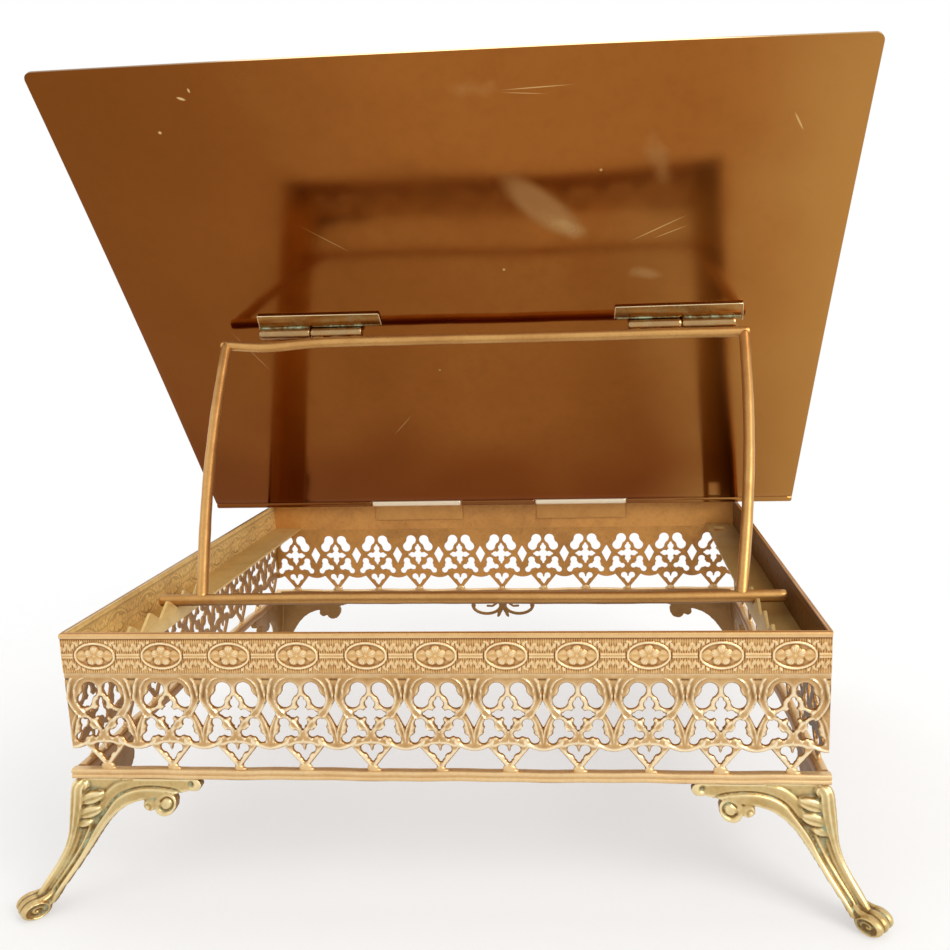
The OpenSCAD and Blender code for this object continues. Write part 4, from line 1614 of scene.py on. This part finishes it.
@dataclass
class Pendant:
    """The small cast ornament under the middle of the front rail."""

    shop: Workshop
    loop: Pair = (8.0, 4.9)
    loop_at: Pair = (9.3, -6.0)
    wire: float = 0.95
    z: float = 1.1

    def build(self) -> None:
        """Make the pendant from loops, a stem and buds."""
        forms, z = [], self.z
        turn = np.linspace(0, 2 * np.pi, 41)
        for side in (-1, 1):
            oval = [(side * self.loop_at[0] + self.loop[0] * math.cos(t),
                     self.loop_at[1] + self.loop[1] * math.sin(t), z) for t in turn]
            forms += [rod(oval, self.wire, 10, 48), lump((side * 17.0, -6.0, z), (1.4, 1.5, 1.0)),
                      lump((side * 2.3, -11.2, z), (1.0, 2.1, 0.9), side * 28),
                      rod([(side * 8.6, -0.6, z), (side * 8.6, -2.4, z)], 1.3, 10, 6),
                      rod([(side * 2.5, -4, z), (side * 6, -6.4, z), (side * 9.5, -6.2, z)], 0.7, 10, 12)]
        forms.append(rod([(0, -0.2, z), (0, -8.6, z)], 1.3, 12, 12))
        forms += [lump((-1.5, -9.2, z), (1.3, 1.2, 0.9)), lump((1.5, -9.2, z), (1.3, 1.2, 0.9)),
                  lump((0, -4.8, z), (2.1, 1.6, 1.3))]
        cast = fuse(forms, "front_pendant", grain=0.3, rounds=2)
        points = read_points(cast)
        points[:, 1] = np.minimum(points[:, 1], 0)
        write_points(cast, points)
        # The back of the pendant, turned into the frame, is unpolished and takes painted shade.
        weather(cast, rounds=12, depth=0.2, bare=(0, 0, -1))
        place = SIZES.strip(Side.FRONT) @ Matrix.Translation((0, SIZES.leg, -SIZES.panel + 0.5))
        self.shop.keep("front_pendant", cast, CAST, place=place, crease=70)


@dataclass
class Racks:
    """The two shelves inside the frame, each with a toothed web."""

    shop: Workshop
    inner: float = 115.4
    outer: float = 130.4
    sheet: float = 1.2
    run: float = 106.1
    web: float = 9.4
    notches: int = 5
    pitch: float = 15.0
    first: float = 97.5
    half: float = 7.1
    deep: float = 5.0
    front: float = 22.5
    edge: float = 0.15
    overlap: float = 0.08
    slot: tuple[Pair, ...] = ((118.4, -98.4), (124.4, -98.4), (124.4, -88.4), (118.4, -88.4))

    def build(self, side: int, name: str) -> None:
        """Make one rack; only the left one has a slot.

        Args:
            side: 1 on the reader's right, -1 on the left.
            name: The node that it replaces.
        """
        low = SIZES.frieze
        outline = [(self.inner, -self.run), (self.outer, -self.run),
                   (self.outer, self.run), (self.inner, self.run)]
        shelf = slab(outline, low, low + self.sheet, self.edge, 2, self.slot if side < 0 else ())
        root = -self.sheet - self.overlap
        teeth = [(self.run, root), (self.run, self.web)]
        for i in range(self.notches):
            at = self.first - i * self.pitch
            for step, drop in ((self.half, 0), (0, self.deep), (-self.half, 0)):
                bend = 0 if drop else 0.35 * math.sin(2.3 * i + step)
                teeth.append((at + step + 0.3 * bend, self.web - drop - 0.2 * abs(bend)))
        teeth += [(self.front, self.web), (self.front, root)]
        web = slab(teeth, self.inner - self.overlap, self.inner + self.sheet, self.edge)
        whole = gather([shelf, moved(web, standing(z=low + self.sheet))])
        whole = moved(whole, Matrix.Diagonal((side, 1, 1, 1)))
        # Painted shade darkens the left rack.
        self.shop.keep(name, shade(whole, 0.1 if side > 0 else -0.55), RACK)


@dataclass
class FrameHinge:
    """The frame's half of the plate hinge: two leaves rolled into long knuckles."""

    shop: Workshop
    long: float = 50.0
    from_middle: float = 46.0
    radius: float = 1.8
    sheet: float = 1.2
    drop: float = 9.0

    def build(self, side: int, name: str) -> None:
        """Make one leaf.

        Args:
            side: 1 on the reader's right, -1 on the left.
            name: The node that it replaces.
        """
        middle, half = side * self.from_middle, self.long / 2
        y, z = SIZES.hinge_y, SIZES.hinge_z
        knuckle = rod([(middle - half, y, z), (middle + half, y, z)], self.radius, 24, 30, 0.02)
        inner = -SIZES.depth / 2 + SIZES.panel
        bend, low = z - self.radius, z - self.radius - self.drop
        strap = [(inner, low), (inner + self.sheet, low), (inner + self.sheet, bend), (y, bend),
                 (y, bend + self.sheet), (inner, bend + self.sheet)]
        leaf_form = slab(strap, -half + 0.1, half - 0.1, 0.2)
        # Painted highlight on the knuckle.
        forms = [shade(knuckle, 1.0), shade(moved(leaf_form, standing(middle)), 0.0)]
        self.shop.keep(name, gather(forms), STRAP)


@dataclass
class BookPlate:
    """The polished plate with its rolled lower edge, and the ledge on its reading face."""

    shop: Workshop
    wide: float = 322.0
    long: float = 246.0
    corner: float = 3.2
    roll: float = 1.8
    start: float = 2.2
    columns: int = 96
    bow: float = 2.4
    curl: float = 1.8
    prop_at: float = 128.0
    knuckles: Pair = (20.5, 71.5)
    ledge_half: float = 125.0
    ledge_sheet: float = 1.2
    ledge_y: tuple[float, float, float] = (5.0, 10.0, 14.0)
    ledge_top: float = 24.7

    def build_plate(self) -> None:
        """Make the sheet and its knuckles."""
        half = self.wide / 2
        rise = self.long - self.corner
        heights = np.concatenate([np.linspace(self.start, rise, 64),
                                  rise + self.corner * np.sin(np.radians(np.linspace(0, 90, 9)))[1:]])
        rows = len(heights) - 1
        form = grid(self.columns, rows)
        lift(form, 1)
        for vert in form.verts:
            y = heights[round((vert.co.y + 0.5) * rows)]
            over = max(0.0, y - rise)
            reach = half - self.corner + math.sqrt(max(0.0, self.corner ** 2 - over ** 2))
            x = vert.co.x * 2 * reach
            # Waves in the sheet, the bow of its upper edge and the curl of its two sides.
            warp = 0.16 * math.sin(x * 0.021 + 0.8) * math.sin(y * 0.019 + 0.3)
            warp = (warp + 0.05 * math.sin(x * 0.06 + y * 0.045)) * min(1.0, y / 30)
            warp += self.bow * (1 - (x / half) ** 2) * float(smooth(y, self.prop_at, self.long)) ** 2
            warp += self.curl * (x / half) ** 6 * math.sin(math.pi * y / self.long)
            vert.co = (x, y, warp + SIZES.plate_t * (vert.co.z - 0.5))
        outward(form)
        soften_edges(form, [edge for edge in form.edges if edge.calc_face_angle(0) > 1.2], 0.4, 3)
        # Painted highlight along the sheet's rounded edges.
        forms = [shade(form, lambda vert: 0.9 * all(abs(face.normal.z) < 0.9 for face in vert.link_faces))]
        near, far = self.knuckles
        for low, high in ((-half, -far), (-near, near), (far, half)):
            roll = rod([(low, 0, 0), (high, 0, 0)], self.roll, 24, int((high - low) / 3), 0.015)
            left, right, top = low + 0.2, high - 0.2, self.start + 0.8
            strap = slab([(left, 0.6), (right, 0.6), (right, top), (left, top)],
                         -SIZES.plate_t / 2 + 0.05, SIZES.plate_t / 2 - 0.05)
            # Painted highlight on the knuckles.
            forms += [shade(roll, 0.75), shade(strap, 0.3)]
        self.shop.keep("book_plate", gather(forms), PLATE, Body.PLATE, SIZES.on_plate(), 40)

    def build_ledge(self) -> None:
        """Make the folded ledge that the book stands on."""
        low, high, t = SIZES.plate_t / 2, self.ledge_top, self.ledge_sheet
        near, lip, foot = self.ledge_y
        profile = [(near, low), (foot, low), (foot, low + t), (near + t, low + t), (near + t, high - t),
                   (lip, high - t), (lip, high), (near, high)]
        form = moved(slab(profile, -self.ledge_half, self.ledge_half, 0.3, 3), standing())
        self.shop.keep("book_ledge", form, PLATE, Body.PLATE, SIZES.on_plate())


@dataclass
class PropHinges:
    """The two hinges that the prop hangs from."""

    shop: Workshop
    leaf_w: float = 58.0
    leaf_h: float = 9.2
    sheet: float = 1.0
    # For the right and the left hinge: its place across, and how far its leaf is moved to the left.
    middles: Pair = (77.0, -95.0)
    shifts: Pair = (4.5, -1.5)
    barrel: float = 24.2
    radius: float = 2.5
    clear: float = 2.8

    def build(self, side: int, name: str) -> None:
        """Make one hinge.

        Args:
            side: 1 on the reader's right, -1 on the left.
            name: The start of the names of the nodes that it replaces.
        """
        under = -SIZES.plate_t / 2
        face, up, axis = under - self.sheet, SIZES.prop_up, -SIZES.prop_off
        which = 0 if side > 0 else 1
        middle = self.middles[which]
        start = middle - self.shifts[which]
        near, away = start - side * self.leaf_w / 2, start + side * self.leaf_w / 2
        top, step = up + self.leaf_h, up + self.clear
        # Painted highlights: thin bright rods along the leaf's edges.
        lines = [rod([(x, y, face), (end, high, face)], size, 10, 24) for x, y, end, high, size in (
            (near + side * 0.5, top - 0.3, away - side * 0.6, top, 0.28),
            (away - side * 0.1, up + 0.3, away - side * 0.6, top, 0.25),
            (near, step, near + side * 0.4, top - 0.3, 0.25))]
        seams = [rod([(x, y, z), (end, y, z)], size, 10, 24, 0.2) for x, end, y, z, size in (
            (near + side, middle - side, step, face, 0.42),
            (middle + side, away - side, up + 2.5, face - 0.2, 0.55))]
        leaf_form = slab([(near, step), (middle, step), (middle, up), (away, up), (away - side * 0.6, top),
                          (near + side * 0.4, top - 0.3)], face, under, 0.25)
        half = self.barrel / 2
        outer, inner = middle + side * (half + 0.15), middle - side * (half + 0.15)
        fixed = rod([(outer - half, up, axis), (outer + half, up, axis)], self.radius, 24, 16, 0.02)
        left, right = outer - half + 0.2, outer + half - 0.2
        neck = slab([(left, up - 0.6), (right, up - 0.6), (right, up + 2.4), (left, up + 2.4)],
                    -3.0, under - 0.2, 0.2)
        forms = [shade(leaf_form, 0.0), shade(fixed, 0.35), shade(neck, -0.3)]
        forms += [shade(line, 0.9) for line in lines] + [shade(seam, -1.0) for seam in seams]
        self.shop.keep(f"{name}_leaf", gather(forms), HINGE, Body.PLATE, SIZES.on_plate())
        turning = rod([(inner - half, 0, 0), (inner + half, 0, 0)], self.radius, 24, 16, 0.02)
        forms = [shade(turning, 0.35)]
        for i in range(3):
            at = inner + (i - 1) * self.barrel * 0.36
            braze = lump((at, self.radius + 0.2, -0.4), (3.2 + 0.6 * (i % 2), 1.2, 1.4), 0, "Z", 2)
            forms.append(shade(braze, -0.2))
        self.shop.keep(f"{name}_knuckle", gather(forms), HINGE, Body.PROP, SIZES.on_prop())


@dataclass
class Prop:
    """The bent wire prop: a top rod, two bowed side wires and a foot rod."""

    shop: Workshop
    radius: float = 2.4
    top: Pair = (-125.0, 119.0)
    foot: Pair = (-128.4, 122.4)
    wires: tuple = ((-1, -122.6, -111.0, "left_prop_wire"), (1, 116.6, 105.0, "right_prop_wire"))
    top_off: float = 5.2
    bow: float = 2.5
    dip: float = 2.0
    dip_at: float = 98.0
    dip_reach: float = 16.0

    def bar(self, line: Sequence[Numbers], pieces: int) -> Form:
        """Draw one worn rod along a line."""
        return rod(line, self.radius, 24, pieces, 0.03)

    def build(self) -> None:
        """Make the four rods."""
        place, length = SIZES.on_prop(), SIZES.prop_length()
        steps = np.linspace(*self.top, 40)
        sag = 0.25 * np.sin(steps * 0.05) + 0.15 * np.sin(steps * 0.13)
        top = [(x, self.top_off + self.dip * math.exp(-((x - self.dip_at) / self.dip_reach) ** 2), s * 0.4)
               for x, s in zip(steps, sag)]
        self.shop.keep("prop_top_rod", self.bar(top, 90), ROD, Body.PROP, place)
        for side, high, low, name in self.wires:
            line = [(high + (low - high) * p + side * self.bow * math.sin(math.pi * p),
                     self.top_off + (length - self.top_off) * p, 0.0) for p in np.linspace(0, 1, 24)]
            self.shop.keep(name, self.bar(line, 70), ROD, Body.PROP, place)
        foot = [(x, 0.2 * math.sin(x * 0.06), 0.25 * math.sin(x * 0.035 + 0.4))
                for x in np.linspace(*self.foot, 40)]
        # Painted shade on the foot rod's underside.
        foot_rod = shade(self.bar(foot, 90), lambda vert: -float(smooth(-vert.co.z, 0.4, 2.2)))
        at = Matrix.Translation((0, SIZES.rod_y, SIZES.rod_z))
        self.shop.keep("prop_foot_rod", foot_rod, ROD, Body.PROP, at)


# Lamps: name, place in metres, power in watts and colour.
LAMPS = (("key", (-1.05, 0.85, 1.0), 13.0, (1, 0.98, 0.95)), ("fill", (1.0, 0.7, 0.9), 1.0, (1, 0.99, 0.97)),
         ("top", (0.1, -0.5, 1.4), 4.0, (1, 1, 1)))


@dataclass
class Studio:
    """The floor, the lamps, the white world and the camera; lengths are in metres, the lens's in mm."""

    aim: tuple[float, float, float] = (0.0, 0.0, 0.1)
    lamp_side: float = 0.8
    floor_side: float = 4.0
    fade: Pair = (0.22, 0.5)
    glow: float = 0.5
    sensor: float = 36.0
    lens: float = 35.0665
    lens_shift: Pair = (-0.06084, -0.00402)
    camera_at: tuple[float, float, float] = (-0.05615, 0.40388, 0.2048)
    camera_right: tuple[float, float, float] = (-0.997376, -0.067186, -0.026984)
    camera_up: tuple[float, float, float] = (-0.015181, -0.170354, 0.985266)
    camera_back: tuple[float, float, float] = (-0.070793, 0.98309, 0.168887)

    def __post_init__(self) -> None:
        """Set the colours to show as written."""
        bpy.context.scene.view_settings.view_transform = "Standard"

    @staticmethod
    def seen(graph: Graph) -> Signal:
        """Give 1 for the rays of the camera, of reflections and of clear materials, and 0 for the light's.

        Args:
            graph: The nodes of the floor or of the world.

        Returns:
            How far white shows.
        """
        camera, glossy, clear = (graph.node("ShaderNodeLightPath", output=f"Is {kind} Ray")
                                 for kind in ("Camera", "Glossy", "Transmission"))
        return (camera + glossy + clear).spread(0.0, 1.0)

    def world(self) -> None:
        """Light the stand softly from all round, with white where the background shows."""
        world = bpy.data.worlds.new("studio")
        bpy.context.scene.world = world
        world.use_nodes = True
        graph = Graph(world.node_tree)
        soft = graph.node("ShaderNodeBackground", {}, {"Color": (1, 0.99, 0.98, 1), "Strength": 0.8})
        white = graph.node("ShaderNodeBackground", {}, {"Color": (1, 1, 1, 1), "Strength": 1.0})
        mixed = graph.node("ShaderNodeMixShader", {}, {0: self.seen(graph), 1: soft, 2: white})
        graph.node("ShaderNodeOutputWorld", {}, {"Surface": mixed})

    def floor(self) -> None:
        """Lay a pale floor that fades into the white background."""
        form = grid(1, 1)
        bmesh.ops.scale(form, vec=(self.floor_side, self.floor_side, 1), verts=form.verts[:])
        mesh = as_mesh(form, "floor")
        made = bpy.data.materials.new("pale_floor")
        made.use_nodes = True
        graph = Graph(made.node_tree)
        at = graph.place()
        far = graph.node("ShaderNodeVectorMath", {"operation": "LENGTH"}, {0: at}, 1)
        speck = graph.noise(at, 40.0, 3.0)
        colour = graph.blend(speck, (0.84, 0.84, 0.83, 1), (0.88, 0.88, 0.87, 1))
        pale = graph.node("ShaderNodeBsdfPrincipled", {}, {"Base Color": colour, "Roughness": 0.9})
        white = graph.node("ShaderNodeEmission", {}, {"Color": (1, 1, 1, 1), "Strength": 1.0})
        pale = graph.node("ShaderNodeMixShader", {}, {0: self.seen(graph) * self.glow, 1: pale, 2: white})
        clear = graph.node("ShaderNodeBsdfTransparent")
        mixed = graph.node("ShaderNodeMixShader", {}, {0: far.spread(*self.fade), 1: pale, 2: clear})
        graph.node("ShaderNodeOutputMaterial", {}, {"Surface": mixed})
        mesh.materials.append(made)
        floor = put("floor", mesh)

    def lamps(self) -> None:
        """Hang the soft square lamps."""
        for name, at, watts, colour in LAMPS:
            light = bpy.data.lights.new(name, "AREA")
            light.size = self.lamp_side
            light.energy = watts
            light.color = colour
            lamp = put(name, light)
            lamp.location = at
            lamp.rotation_euler = (Vector(self.aim) - Vector(at)).to_track_quat("-Z", "Y").to_euler()

    def camera(self) -> None:
        """Stand the camera behind the stand, where the photograph was taken."""
        lens = bpy.data.cameras.new("camera")
        lens.sensor_width = self.sensor
        lens.lens = self.lens
        lens.shift_x, lens.shift_y = self.lens_shift
        camera = put("camera", lens)
        turn = Matrix((self.camera_right, self.camera_up, self.camera_back)).transposed().to_4x4()
        camera.matrix_world = Matrix.Translation(self.camera_at) @ turn
        bpy.context.scene.camera = camera


def dress_frame() -> None:
    """Give each CAD node that still shows the finish of its slot."""
    finishes = {finish.slot: finish for finish in (
        STAMPED, PIERCED, REEDED, CAST, RACK, HINGE, PIN, ROD, PLATE)}
    for part in frame["record"]["subparts"]:
        node = frame["nodes"][part["node"]]
        node.data.materials.clear()
        node.data.materials.append(finishes[part["material_slot"]].material())


def main() -> None:
    """Build every sub-assembly in order."""
    logging.basicConfig(level=logging.INFO, format="%(name)s: %(message)s")
    dress_frame()
    shop = Workshop()
    friezes, galleries, rails = Friezes(shop), Galleries(shop), Rails(shop)
    for side in Side:
        friezes.build(side)
        galleries.build(side)
        rails.build(side)
    Legs(shop).build()
    Pendant(shop).build()
    racks, hinge, prop_hinges = Racks(shop), FrameHinge(shop), PropHinges(shop)
    for side, name in ((-1, "left"), (1, "right")):
        racks.build(side, f"{name}_rack")
        hinge.build(side, f"{name}_hinge_leaf")
        prop_hinges.build(side, f"{name}_prop")
    plate = BookPlate(shop)
    plate.build_plate()
    plate.build_ledge()
    Prop(shop).build()
    studio = Studio()
    studio.world()
    studio.floor()
    studio.lamps()
    studio.camera()
    log.info("%d pieces made", len(shop.made))


if __name__ == "__main__":
    main()
